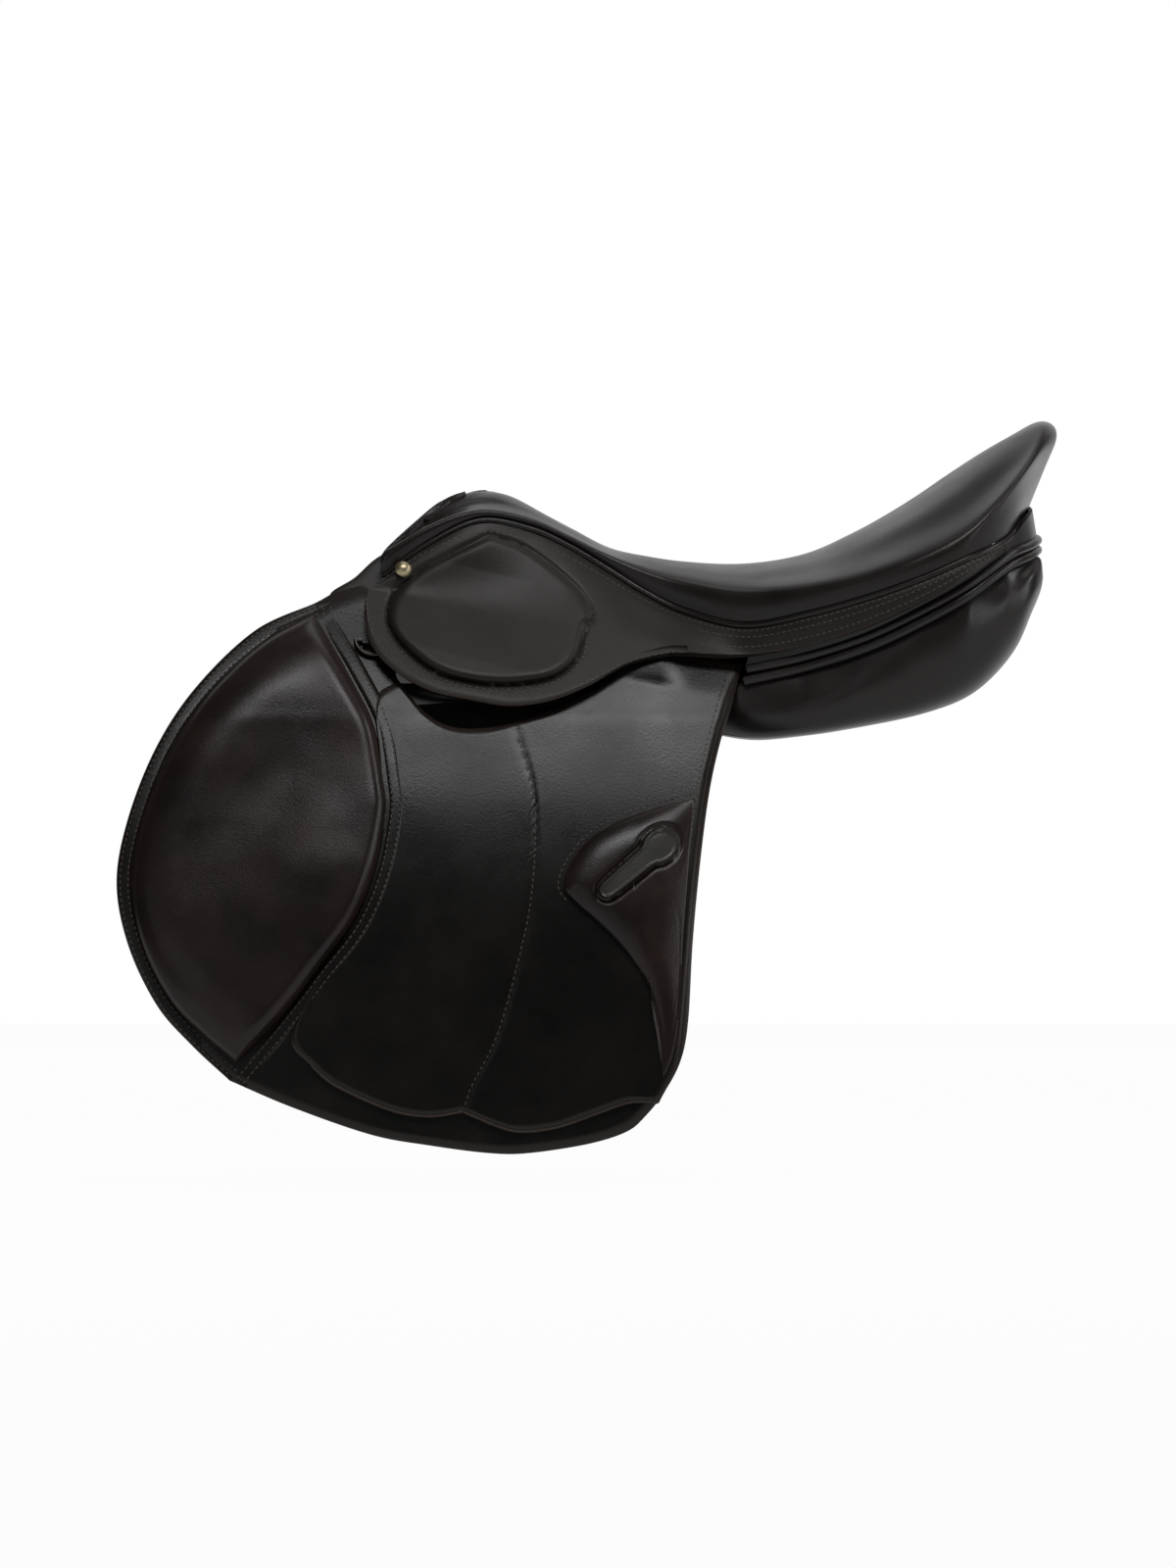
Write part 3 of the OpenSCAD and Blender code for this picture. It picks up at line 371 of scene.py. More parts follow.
def grid(columns, rows, place):
    """A grid whose corners lie where place(u, v) says, in mm and with any wear, for u and v from 0 to 1."""
    bm = bmesh.new()
    bmesh.ops.create_grid(bm, x_segments=columns, y_segments=rows, size=0.5)
    wear = bm.verts.layers.float.new("wear")
    for vert in bm.verts:
        spot = place(vert.co.x + 0.5, vert.co.y + 0.5)
        vert.co = Vector(spot[:3]) * MM
        vert[wear] = spot[3] if len(spot) > 3 else 0.0
    bmesh.ops.remove_doubles(bm, verts=bm.verts, dist=SAME_SPOT * MM)
    bmesh.ops.recalc_face_normals(bm, faces=bm.faces)
    return bm


def facing_out(bm, outward):
    """Turns an open sheet so that its faces look along outward."""
    if sum((f.normal * f.calc_area() for f in bm.faces), Vector()).dot(Vector(outward)) < 0:
        bmesh.ops.reverse_faces(bm, faces=bm.faces)
    return bm


def piece(name, bm, material, body, slot, nodes=(), wall=0, smooth=0):
    """Makes the mesh a piece on its body. A wall in mm grows inward, and smooth counts subdivisions."""
    mesh = bpy.data.meshes.new(name)
    bm.to_mesh(mesh)
    bm.free()
    mesh.shade_smooth()
    mesh.materials.append(material)
    made = bpy.data.objects.new(name, mesh)
    scene.collection.objects.link(made)
    if wall:
        solid = made.modifiers.new("wall", "SOLIDIFY")
        solid.thickness = wall * MM
        solid.offset = -1
    if smooth:
        levels = made.modifiers.new("smooth", "SUBSURF")
        levels.levels = levels.render_levels = smooth
    if made.modifiers:
        ready = made.evaluated_get(bpy.context.evaluated_depsgraph_get())
        made.data = bpy.data.meshes.new_from_object(ready)
        made.modifiers.clear()
    made.data.set_sharp_from_angle(angle=SHARP_ANGLE)
    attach(made, body)
    if nodes:
        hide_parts(*nodes)
    return made


def seat_section(station, depth):
    """Points from the middle line over the ridge to the rim of one station, sunk by depth."""
    middle_x, middle_z, ridge_x, ridge_y, ridge_z, rim_x, rim_y, rim_z, slope = station
    out = np.array([rim_x - middle_x, -rim_y, 0.0])
    out = out / np.linalg.norm(out)
    sink = RIDGE_SINK[0] * out + np.array([0, 0, RIDGE_SINK[1]])
    middle = np.array([middle_x, 0, middle_z - depth])
    ridge = np.array([ridge_x, -ridge_y, ridge_z]) - depth * sink
    rim = np.array([rim_x, -rim_y, rim_z]) - depth * out
    start = slope * (ridge[0] - middle[0])
    line = []
    for share in RIDGE_SHARES:
        spot = middle + (ridge - middle) * share
        spot[2] = middle[2] + start * share + (ridge[2] - middle[2] - start) * share ** 2
        line.append(spot)
    back = ramp((rim - ridge).dot(out), BACK_LEAN, -BACK_LEAN)
    for angle, straight, swell in WALL_STEPS:
        a = math.radians(angle)
        level = back * straight + (1 - back) * math.sin(a)
        drop = back * straight + (1 - back) * (1 - math.cos(a))
        bulge = back * swell + (1 - back) * WALL_BULGE * math.sin(2 * a)
        line.append(ridge + (rim - ridge) * np.array([level, level, drop]) + bulge * out)
    return line


def seat_surface(depth, reach=7):
    """Place function of the seat at a depth under its leather: u runs along it, v from rim to rim, or
    over fewer points of each section from the middle out."""
    steps = np.arange(len(SEAT))[:, None] * STATION_STEP
    stations = smooth_line(np.hstack([np.array(SEAT, float), steps]), SEAT_COLUMNS + 1)[:, :9]
    half = SEAT_ROWS // 2
    lines = [smooth_line(seat_section(s, depth)[:reach], half + 1) for s in stations]

    def place(u, v):
        x, y, z = lines[round(u * SEAT_COLUMNS)][abs(round(v * SEAT_ROWS) - half)]
        return x, (y if v < 0.5 else -y), z
    return place


# Dark grey and dull, with fine open cells.
foam_material, tree, output = new_material("latex_foam")
spot = add(tree, "TexCoord").outputs["Object"]
cells = add(tree, "TexNoise", {"Vector": spot}, Scale=1 / (FOAM_CELL * MM), Detail=3.0).outputs["Fac"]
relief = add(tree, "Bump", {"Height": cells}, Strength=0.4, Distance=0.4 * MM)
shade = two_tones(tree, cells, "#23221f", "#3a3834")
cover(tree, output, {"Base Color": shade.outputs[0], "Normal": relief.outputs[0]}, Roughness=0.9)

foam_surface = seat_surface(COVER_T + FOAM_GAP, FOAM_REACH)
foam = grid(FOAM_COLUMNS, SEAT_ROWS, lambda u, v: foam_surface(FOAM_START + (1 - FOAM_START) * u, v))
facing_out(foam, (0, 0, 1))
piece("foam_layer", foam, foam_material, BODY, "foam", ["seat_foam"], wall=FOAM_T)


# Seat
# Soft calf leather drawn over the foam and nailed under the tree. It dips between the pommel and a high
# cantle, with a rounded ridge along each side above a short wall.
SEAT_SMOOTHING = 4
SEAT_SWELL = 0.5
SEAT_SWELL_W = 42


def uneven(bm, height, width):
    """Lifts and sinks a skin by up to a height, in swells of the given width, as stuffed leather lies."""
    bm.normal_update()
    for vert in bm.verts:
        vert.co += vert.normal * height * MM * noise.noise(vert.co / (width * MM))
    return bm


seat_leather = leather("calf_leather_seat", "#120f0e", "#1a1513", 0.3, shine=0.26, coat=0.04)
seat = facing_out(grid(SEAT_COLUMNS, SEAT_ROWS, seat_surface(0)), (0, 0, 1))
inner = [v for v in seat.verts if not v.is_boundary]
for turn in range(SEAT_SMOOTHING):
    bmesh.ops.smooth_vert(seat, verts=inner, factor=0.5, use_axis_x=True, use_axis_y=True, use_axis_z=True)
uneven(seat, SEAT_SWELL, SEAT_SWELL_W)
piece("seat_leather", seat, seat_leather, BODY, "seat_leather", ["seat_cover"], wall=COVER_T)


# Piping
# A cord in a folded strip of leather, sewn into the seam between seat and skirt.
PIPING_R = 2.2
PIPING_OUT = 0.5
PIPING_DROP = 2.7
PIPING_COLUMNS = 240
CORD_END = 0.3
HEAD_STATION = 3


def pair(name, bm, material, body, slot, nodes=(), **finish):
    """The left piece and its mirror image on the right."""
    made = []
    for side in ("left", "right"):
        copy = bm.copy()
        if side == "right":
            bmesh.ops.scale(copy, vec=(1, -1, 1), verts=copy.verts)
            bmesh.ops.reverse_faces(copy, faces=copy.faces)
        on = body if body == BODY else f"{side}_{body}"
        own = [f"{side}_{node}" for node in nodes]
        made.append(piece(f"{name}.{side}", copy, material, on, slot, own, **finish))
    bm.free()
    return made


def cord_along(points, radius, count, sides=12):
    """A round cord through points, with narrowed open ends."""
    line = smooth_line(points, count + 1)
    run = np.gradient(line, axis=0)
    run = run / np.linalg.norm(run, axis=1)[:, None]
    side = np.cross(run, (0, 0, 1.0))
    side = side / np.linalg.norm(side, axis=1)[:, None]
    up = np.cross(side, run)

    def place(u, v):
        k = round(u * count)
        wide = radius if 0 < k < count else CORD_END * radius
        turn = 2 * math.pi * v
        return line[k] + wide * (math.cos(turn) * side[k] + math.sin(turn) * up[k])
    return grid(count, sides, place)


piping_line = [(s[5], -s[6] - PIPING_OUT, s[7] - PIPING_DROP) for s in SEAT[HEAD_STATION:]]
piping = cord_along(piping_line, PIPING_R, PIPING_COLUMNS)
pair("piping", piping, seat_leather, BODY, "seat_leather", ["piping"])


# Skirts
# One piece of stout leather each side, sewn in under the seat. It covers the stirrup bar, folds along a line
# from the head to the waist, and runs back under the seat as a narrow stitched band. A padded insert is set
# into it over the bar.
SKIRT_T = 4.5
SKIRT_SLOPE = 0.72
SKIRT_TOP_OUT = 1.5
SKIRT_TOP_DROP = 4.6
SKIRT_SWELL = 9.0
SKIRT_ROLL = 1.6
SKIRT_ROLL_V = (0.9, 1.0)
SKIRT_WEAR = 0.5
SKIRT_WEAR_REACH = 14
BAND_WEAR = 0.35
BAND_WEAR_REACH = 9
HEAD_OUT = 2.5
HEAD_X = -140
HEAD_SWELL = 6.0
HEAD_SWELL_X = (-120, -180)
BAND_STATION = 17
BAND_X = (20, -30)
UPPER_COLUMNS = 220
UPPER_ROWS = 46
SKIRT_COLUMNS = 150
SKIRT_ROWS = 40
SHEET_OUT = (0, -1, 0.4)
FOLD_FRONT = np.array([-228.0, -66.0, 94.0])
FOLD_REAR = np.array([-10.0, -97.0, 51.0])
FOLD_X = (-222.4, -196, -160, -124, -98, -72, -45, -12)
BAND_LOW = [(30, -101, 50), (68, -113, 56), (105, -127, 67.5), (141, -134, 84), (172, -132, 102.5),
            (199, -107, 121.5)]
SKIRT_EDGE = [(-222.4, 92.8), (-225, 80), (-221, 58), (-206, 40), (-181, 26), (-155, 20), (-129, 16),
              (-103, 19), (-77, 29), (-52, 43), (-26, 50.5), (-12, 51)]
INSERT = [(-142, 129), (-168, 116), (-190, 104), (-206, 89), (-208, 68), (-190, 47), (-168, 35), (-135, 30),
          (-103, 34), (-86, 46), (-81, 62), (-79, 70), (-75, 75), (-84, 93), (-116, 119)]
INSERT_LOW_H = 6.8
INSERT_TOP_H = 2.2
INSERT_EDGE = 7.0
INSERT_FALL_Z = (105, 45)
INSERT_LEAN = 0.25
INSERT_LEAN_X = -145
GROOVE_DEPTH = 1.5
GROOVE_WIDTH = 1.7
skirt_leather = leather("bridle_leather_skirt", "#1e1b19", "#272321", 0.42, shine=0.19)


def fold_at(x):
    """Point of the fold line at x."""
    return FOLD_FRONT + (FOLD_REAR - FOLD_FRONT) * (x - FOLD_FRONT[0]) / (FOLD_REAR[0] - FOLD_FRONT[0])


def depth_in(outline):
    """Function of x and z that gives the distance inside a closed outline, below 0 outside it."""
    a = np.array(outline, float)
    b = np.roll(a, -1, axis=0)
    run = b - a

    def depth(x, z):
        p = np.array([x, z])
        t = np.clip(((p - a) * run).sum(1) / (run ** 2).sum(1), 0, 1)
        away = np.linalg.norm(p - a - t[:, None] * run, axis=1).min()
        crosses = (a[:, 1] > z) != (b[:, 1] > z)
        at = a[:, 0] + run[:, 0] * (z - a[:, 1]) / np.where(run[:, 1] == 0, 1e-9, run[:, 1])
        return away if (crosses & (x < at)).sum() % 2 else -away
    return depth


def crown(depth, run):
    """Share of a pad's height at a depth inside its outline, rounded over the given run."""
    return math.sqrt(1 - (1 - ramp(depth, 0, run)) ** 2)


insert_line = smooth_line(INSERT + INSERT[:1], 160)[:-1]
insert_depth = depth_in(insert_line)


def insert_height(x, z):
    """Height of the padded insert over the skirt, with the sewn groove round it."""
    depth = insert_depth(x, z)
    low = ramp(z + INSERT_LEAN * (x - INSERT_LEAN_X), *INSERT_FALL_Z)
    full = INSERT_TOP_H + (INSERT_LOW_H - INSERT_TOP_H) * low
    return full * crown(depth, INSERT_EDGE) - GROOVE_DEPTH * math.exp(-(depth / GROOVE_WIDTH) ** 2)


rims = [(s[5], -s[6] - SKIRT_TOP_OUT - (HEAD_OUT if s[5] < HEAD_X else 0), s[7] - SKIRT_TOP_DROP)
        for s in SEAT[HEAD_STATION:BAND_STATION]]
lows = [fold_at(x) for x in FOLD_X] + BAND_LOW
upper_lines = smooth_line(np.hstack([np.array(rims), np.array(lows, float)]), UPPER_COLUMNS + 1)
edge_line = smooth_line(SKIRT_EDGE, SKIRT_COLUMNS + 1)


def edge_wear(v, reach):
    """Wear of a sheet's lower edge, where v is 1. It reaches up by one part in so many."""
    return max(0.0, 1 - (1 - v) * reach)


def upper_skirt_place(u, v):
    """Outer face from the seat's rim, at v 0, down to the fold or the band's lower edge."""
    line = upper_lines[round(u * UPPER_COLUMNS)]
    top, low = line[:3], line[3:]
    x, y, z = top + (low - top) * v
    ahead = ramp(low[0], *BAND_X)
    end_turn = ahead * (SKIRT_SLOPE * (top[2] - low[2]) - (top[1] - low[1]))
    swell = SKIRT_SWELL + HEAD_SWELL * ramp(low[0], *HEAD_SWELL_X)
    swell = swell * v * (1 - v) ** 2 - end_turn * v * v * (1 - v)
    wear = BAND_WEAR * (1 - ahead) * edge_wear(v, BAND_WEAR_REACH)
    return x, y - swell - insert_height(x, z), z, wear


def skirt_face(x, z):
    """Half width of the skirt's outer face below the fold."""
    return -fold_at(x)[1] + (fold_at(x)[2] - z) * SKIRT_SLOPE


def skirt_place(u, v):
    """Outer face from the fold, at v 0, down to the skirt's lower edge, which rolls in."""
    top = fold_at(FOLD_X[0] + (FOLD_X[-1] - FOLD_X[0]) * u)[[0, 2]]
    x, z = top + (edge_line[round(u * SKIRT_COLUMNS)] - top) * v
    roll = SKIRT_ROLL * ramp(v, *SKIRT_ROLL_V) ** 2
    wear = SKIRT_WEAR * edge_wear(v, SKIRT_WEAR_REACH)
    return x, -skirt_face(x, z) - insert_height(x, z) + roll, z, wear


upper_skirt = facing_out(grid(UPPER_COLUMNS, UPPER_ROWS, upper_skirt_place), SHEET_OUT)
pair("upper_skirt", upper_skirt, skirt_leather, BODY, "skirt_leather", ["upper_skirt"], wall=SKIRT_T)
skirt = facing_out(grid(SKIRT_COLUMNS, SKIRT_ROWS, skirt_place), SHEET_OUT)
pair("skirt", skirt, skirt_leather, "skirt", "skirt_leather", ["skirt"], wall=SKIRT_T)


# Thread of the skirts
# Waxed linen thread: a row along the lower edge and one round the insert, one under the piping and two
# along the band.
STITCH_STEP = 4.2
STITCH_L = 3.0
STITCH_W = 1.0
STITCH_FLAT = 0.8
STRAND = 1.4
LOOKS_OUT = Vector((0, -0.9, 0.42))
THREAD_OUT = 0.2
# Share of the way down the upper skirt, and of the way back where the row starts.
BAND_ROWS = [(0.1, 0.0), (0.34, 0.5), (0.72, 0.5)]
BAND_ROWS_END = 0.985
EDGE_ROW = 0.88
EDGE_ROW_START = 0.02
INSERT_ROW_OUT = 3.4
FOLD_CLEAR = 1.5

# Grey-brown against the black leather, with the twist of the strands.
thread_material, tree, output = new_material("waxed_linen_thread")
spot = add(tree, "TexCoord").outputs["Object"]
twist = add(tree, "TexWave", {"Vector": spot}, Scale=1 / (STRAND * MM), Distortion=1.0)
shade = two_tones(tree, twist.outputs["Fac"], "#2e2926", "#5a5049")
cover(tree, output, {"Base Color": shade.outputs[0]}, Roughness=0.6, Specular_IOR_Level=0.25)


def shifted(line, distance):
    """A line in x and z moved sideways, to the left of its run."""
    line = np.array(line, float)
    run = np.gradient(line, axis=0)
    run = run / np.linalg.norm(run, axis=1)[:, None]
    return line + distance * np.stack([-run[:, 1], run[:, 0]], 1)


def stitch_row(bm, points):
    """Adds a row of stitches along a path in mm, each a short drawn-in bead of thread."""
    points = np.array(points)
    run = np.concatenate([[0], np.cumsum(np.linalg.norm(np.diff(points, axis=0), axis=1))])
    marks = np.arange(STITCH_STEP / 2, run[-1] - STITCH_STEP / 2, STITCH_STEP)
    ends = [np.stack([np.interp(marks + d, run, points[:, k]) for k in range(3)], 1) for d in (-1.0, 1.0)]
    size = Matrix.Diagonal((STITCH_L * MM, STITCH_W * MM, STITCH_FLAT * STITCH_W * MM, 1))
    for a, b in zip(*ends):
        along = Vector(b - a).normalized()
        side = along.cross(LOOKS_OUT).normalized()
        turn = Matrix((along, side, side.cross(along))).transposed().to_4x4()
        place = Matrix.Translation(Vector((a + b) / 2) * MM) @ turn @ size
        bmesh.ops.create_uvsphere(bm, u_segments=6, v_segments=4, radius=0.5, matrix=place)


root_thread = bmesh.new()
for down, start in BAND_ROWS:
    run = np.linspace(start, BAND_ROWS_END, UPPER_COLUMNS + 1)
    stitch_row(root_thread, [upper_skirt_place(u, down)[:3] for u in run])
pair("band_stitches", root_thread, thread_material, BODY, "skirt_leather")

skirt_thread = bmesh.new()
run = np.linspace(EDGE_ROW_START, 1, SKIRT_COLUMNS + 1)
stitch_row(skirt_thread, [skirt_place(u, EDGE_ROW)[:3] for u in run])
around = [(x, z) for x, z in shifted(insert_line, -INSERT_ROW_OUT) if z < fold_at(x)[2] - FOLD_CLEAR]
stitch_row(skirt_thread, [(x, -skirt_face(x, z) - insert_height(x, z) - THREAD_OUT, z) for x, z in around])
pair("skirt_stitches", skirt_thread, thread_material, "skirt", "skirt_leather")


# Flap
# A large sheet of stout leather, cut forward for jumping. Its top is cut away round the stirrup bar and its
# inner face bends over the horse's side.
FLAP_T = 4.5
FLAP_FRONT_X = -222.0
FRONT_TUCK = 0.00035
FLAP_BEND = 25.0
FLAP_BEND_X = -100.0
FLAP_BEND_END = 20.0
FLAP_GAP = 0.35
FLAP_RINGS = 40
TAB_GAP = 0.4
TAB_X = (-20, -50, -218)
RIM_WEAR = 0.4
RIM_RINGS = 1.5
RIM_SNAP = 1e-6
SIDE_SHAPE = [(-300, 188), (-250, 182), (-200, 175), (-150, 166), (-100, 153), (-50, 134), (0, 110),
              (16, 101), (44, 84), (76, 63), (94, 52), (120, 40)]
FLAP_FRONT = [(-227, 96), (-245, 91), (-258, 84), (-297, 66), (-335, 29), (-361, -11), (-379, -58),
              (-386, -100), (-378, -141), (-359, -180), (-336, -206), (-311, -229)]
FLAP_LOW = [(-311, -229), (-271, -246), (-219, -264), (-181, -271), (-142, -276), (-116, -276), (-77, -270),
            (-52, -262), (-40, -252), (-28, -237), (-17, -216), (-12, -190), (-9, -139), (-4, -87),
            (2, -42), (9, -10), (17, 16), (24, 43)]
FLAP_CUT = [(-70, 30), (-80, 24), (-100, 14), (-124, 6), (-148, 1), (-170, 3), (-187, 14), (-203, 34)]
FLAP_MIDDLE = np.array([-168.0, -140.0])
side_line = smooth_line(SIDE_SHAPE, 200)
flap_leather = leather("calf_leather_flap", "#0a0908", "#110e0c", 0.29, shine=0.25)


def flap_face(x, z):
    """Half width of the flap's outer face. Its front tucks in, and its top bends out to meet the skirt."""
    tuck = FRONT_TUCK * min(0.0, x - FLAP_FRONT_X) ** 2
    face = np.interp(z, side_line[:, 0], side_line[:, 1]) - tuck + FLAP_T
    if FLAP_BEND_X < x < FOLD_REAR[0]:
        near = max(0.0, 1 - (fold_at(x)[2] - z) / FLAP_BEND)
        near *= min(1.0, (x - FLAP_BEND_X) / FLAP_BEND_END, (FOLD_REAR[0] - x) / FLAP_BEND_END)
        face += near * max(0.0, skirt_face(x, z) - SKIRT_T - FLAP_GAP - face)
    return face


def pad(outline, middle, rings, top, bottom, ease=0):
    """A closed pad: an outline in x and z, filled from its middle, with the half widths of its two faces.
    Its outer face may be eased off towards the rim."""
    count = len(outline)

    def place(u, v):
        share = min(1.0, 2 * min(v, 1 - v))
        x, z = middle + (outline[round(u * count) % count] - middle) * share
        faces = []
        if v < 0.5 + RIM_SNAP:
            faces.append(top(x, z) - ease * share ** 4)
        if v > 0.5 - RIM_SNAP:
            faces.append(bottom(x, z))
        wear = RIM_WEAR * max(0.0, 1 - (1 - share) * rings / RIM_RINGS)
        return x, -sum(faces) / len(faces), z, wear
    return grid(count, 2 * rings, place)


def straight_line(points, count=14):
    """Points on the straight runs between the given ones, without the last."""
    return np.vstack([np.linspace(a, b, count, endpoint=False) for a, b in zip(points, points[1:])])


rear_tab, middle_tab, front_tab = [(x, fold_at(x)[2] - TAB_GAP) for x in TAB_X]
flap_outline = np.vstack([smooth_line(FLAP_FRONT, 121)[:-1], smooth_line(FLAP_LOW, 161)[:-1],
                          straight_line([FLAP_LOW[-1], rear_tab, middle_tab, FLAP_CUT[0]]),
                          smooth_line(FLAP_CUT, 61)[:-1],
                          straight_line([FLAP_CUT[-1], front_tab, FLAP_FRONT[0]])])
flap = pad(flap_outline, FLAP_MIDDLE, FLAP_RINGS, flap_face, lambda x, z: flap_face(x, z) - FLAP_T)
pair("flap", flap, flap_leather, "flap", "flap_leather", ["flap"])


# Knee pad
# Foam under calf leather on the front of the flap, sewn down round its edge. It stands highest along its
# front and top, as a roll, and is hollowed behind that for the knee.
KNEE_H = 15.0
KNEE_EDGE_H = 2.0
KNEE_FRONT_RUN = 34
KNEE_REAR_RUN = 10
KNEE_BROW = 7.0
KNEE_BROW_Z = (40, -55)
KNEE_HOLLOW = 6.5
HOLLOW_AT = (-298, -48)
HOLLOW_ALONG = (-0.595, -0.8)
HOLLOW_HALF_L = 95
HOLLOW_HALF_W = 40
KNEE_RINGS = 46
KNEE_SWELL = 0.5
KNEE_SWELL_W = 30
SUNK = 0.3
KNEE_FRONT = [(-259, 77), (-292, 58), (-327, 24), (-352, -15), (-369, -59), (-376, -100), (-370, -138),
              (-351, -176), (-329, -199), (-307, -217)]
KNEE_REAR = [(-307, -217), (-277, -186), (-254, -156), (-231, -126), (-217, -93), (-210, -55), (-211, -35),
             (-218, 3), (-234, 35), (-252, 66), (-259, 77)]
KNEE_MIDDLE = np.array([-292.0, -70.0])
knee_front = smooth_line(KNEE_FRONT, 121)
knee_rear = smooth_line(KNEE_REAR, 121)
knee_line = np.vstack([knee_front[:-1], knee_rear[:-1]])
pad_leather = leather("calf_leather_pads", "#140f0e", "#231816", 0.3, shine=0.27)


def distance(line, x, z):
    """Distance from a line in x and z, to the nearest of its points."""
    return np.linalg.norm(line - (x, z), axis=1).min()


def under_pad(x, z):
    """Half width of the hidden face of what is sewn on the flap."""
    return flap_face(x, z) - SUNK


def knee_top(x, z):
    """Half width of the knee pad's outer face."""
    edge = crown(distance(knee_front, x, z), KNEE_FRONT_RUN) * crown(distance(knee_rear, x, z), KNEE_REAR_RUN)
    ahead, up = x - HOLLOW_AT[0], z - HOLLOW_AT[1]
    along = HOLLOW_ALONG[0] * ahead + HOLLOW_ALONG[1] * up
    across = HOLLOW_ALONG[0] * up - HOLLOW_ALONG[1] * ahead
    hollow = KNEE_HOLLOW * math.exp(-(across / HOLLOW_HALF_W) ** 2 - (along / HOLLOW_HALF_L) ** 4)
    low = ramp(z, *KNEE_BROW_Z)
    brow = KNEE_BROW * (1 - low * low * (3 - 2 * low))
    return flap_face(x, z) + KNEE_EDGE_H + (KNEE_H - KNEE_EDGE_H - hollow + brow) * edge


knee = uneven(pad(knee_line, KNEE_MIDDLE, KNEE_RINGS, knee_top, under_pad), KNEE_SWELL, KNEE_SWELL_W)
for made in pair("knee_pad", knee, pad_leather, "flap", "pad_leather", ["knee_pad"]):
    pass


# Border of the knee pad, and binding of the flap's front edge
# Narrow strips of leather, pared thin towards their ends and each sewn down with two rows of thread.
BORDER_W = 11.0
BORDER_H = 3.6
BORDER_OFF = 6.5
BORDER_FOOT = (-310, -226)
BORDER_HEAD = (-257, 82)
BINDING_W = 9.5
BINDING_H = 1.5
BINDING_IN = 0.3
STRIP_IN = 0.5
STRIP_ROWS = 14
PARED = 1 / 3
PARED_END = 0.02
STRIP_WEAR = 0.3
ROW_OFF = 2.6
THREAD_LEAST = 0.1


def end_rise(u):
    """Share of a strip's height along it, pared down towards both ends."""
    return min(1.0, u / PARED + PARED_END, (1 - u) / PARED + PARED_END)


def strip(line, width, height):
    """A low crowned strip on the flap along a line in x and z."""
    left, right = shifted(line, width / 2), shifted(line, -width / 2)
    count = len(line) - 1

    def place(u, v):
        k = round(u * count)
        x, z = left[k] + (right[k] - left[k]) * v
        across = abs(2 * v - 1)
        rise = (1 - across ** 5) * end_rise(u)
        return x, -flap_face(x, z) + STRIP_IN - (height + STRIP_IN) * rise, z, STRIP_WEAR * across ** 4
    return facing_out(grid(count, STRIP_ROWS, place), LOOKS_OUT)


def on_strip(line, height):
    """Points of a row of thread on a strip of the given height, along a line in x and z."""
    rises = [(height + STRIP_IN) * end_rise(u) - STRIP_IN + THREAD_OUT for u in np.linspace(0, 1, len(line))]
    return [(x, -flap_face(x, z) - max(THREAD_LEAST, rise), z) for (x, z), rise in zip(line, rises)]


border_line = shifted(smooth_line([BORDER_FOOT] + KNEE_REAR[1:-1] + [BORDER_HEAD], 141), -BORDER_OFF)
pair("knee_border", strip(border_line, BORDER_W, BORDER_H), flap_leather, "flap", "flap_leather")
binding_line = shifted(smooth_line(FLAP_FRONT[2:], 161), BINDING_W / 2 + BINDING_IN)
pair("front_binding", strip(binding_line, BINDING_W, BINDING_H), flap_leather, "flap", "flap_leather")
flap_thread = bmesh.new()
for off in (-ROW_OFF, ROW_OFF):
    stitch_row(flap_thread, on_strip(shifted(border_line, off), BORDER_H))
    stitch_row(flap_thread, on_strip(shifted(binding_line, off), BINDING_H))


# Overlay
# A second sheet of leather over the middle of the flap, where the rider's leg lies. Its lower edge is left
# raw, cut in two curves that meet at the foot of a stitched seam.
OVERLAY_H = 2.6
OVERLAY_RINGS = 60
OVERLAY_THIN = 0.1
OVERLAY_THIN_RUN = (2, 24)
SEAM_DIP = 0.9
SEAM_DIP_W = 1.6
SEAM_SKIP = 4
SEAM_THREAD_IN = 0.3
REAR_ROW_OFF = 5.5
CUT_R = 0.9
CUT_COLUMNS = 90
CUT_IN = 0.5
OVERLAY_LOW = [(-262, -176), (-271, -203), (-258, -219), (-242, -232), (-206, -248), (-181, -252),
               (-159, -249)]
OVERLAY_LOW_REAR = [(-159, -249), (-135, -259), (-120, -262), (-97, -259), (-71, -250), (-50, -243),
                    (-31, -243)]
OVERLAY_REAR = [(-31, -243), (-19, -216), (-13, -160), (-8, -100), (-1, -42), (6, -10), (13, 16), (19, 36)]
OVERLAY_TOP = [(19, 36), (20, 42), (-20, 50.5), (-50, 55), (-69, 29)]
OVERLAY_CUT = [(-69, 29), (-80, 23), (-100, 13), (-124, 5), (-148, 0), (-170, 2), (-187, 13), (-203, 32)]
OVERLAY_FRONT = [(-203, 32), (-217, 20), (-214, -20), (-212, -60), (-222, -104), (-240, -142), (-262, -176)]
SEAM = [(-126, 3), (-114, -35), (-112, -68), (-115, -113), (-124, -155), (-137, -200), (-153, -232),
        (-158, -246)]
OVERLAY_MIDDLE = np.array([-150.0, -115.0])
overlay_line = np.vstack([smooth_line(run, 61)[:-1] for run in (OVERLAY_LOW, OVERLAY_LOW_REAR, OVERLAY_REAR)]
                         + [straight_line(OVERLAY_TOP)]
                         + [smooth_line(run, 61)[:-1] for run in (OVERLAY_CUT, OVERLAY_FRONT)])
seam_line = smooth_line(SEAM, 120)


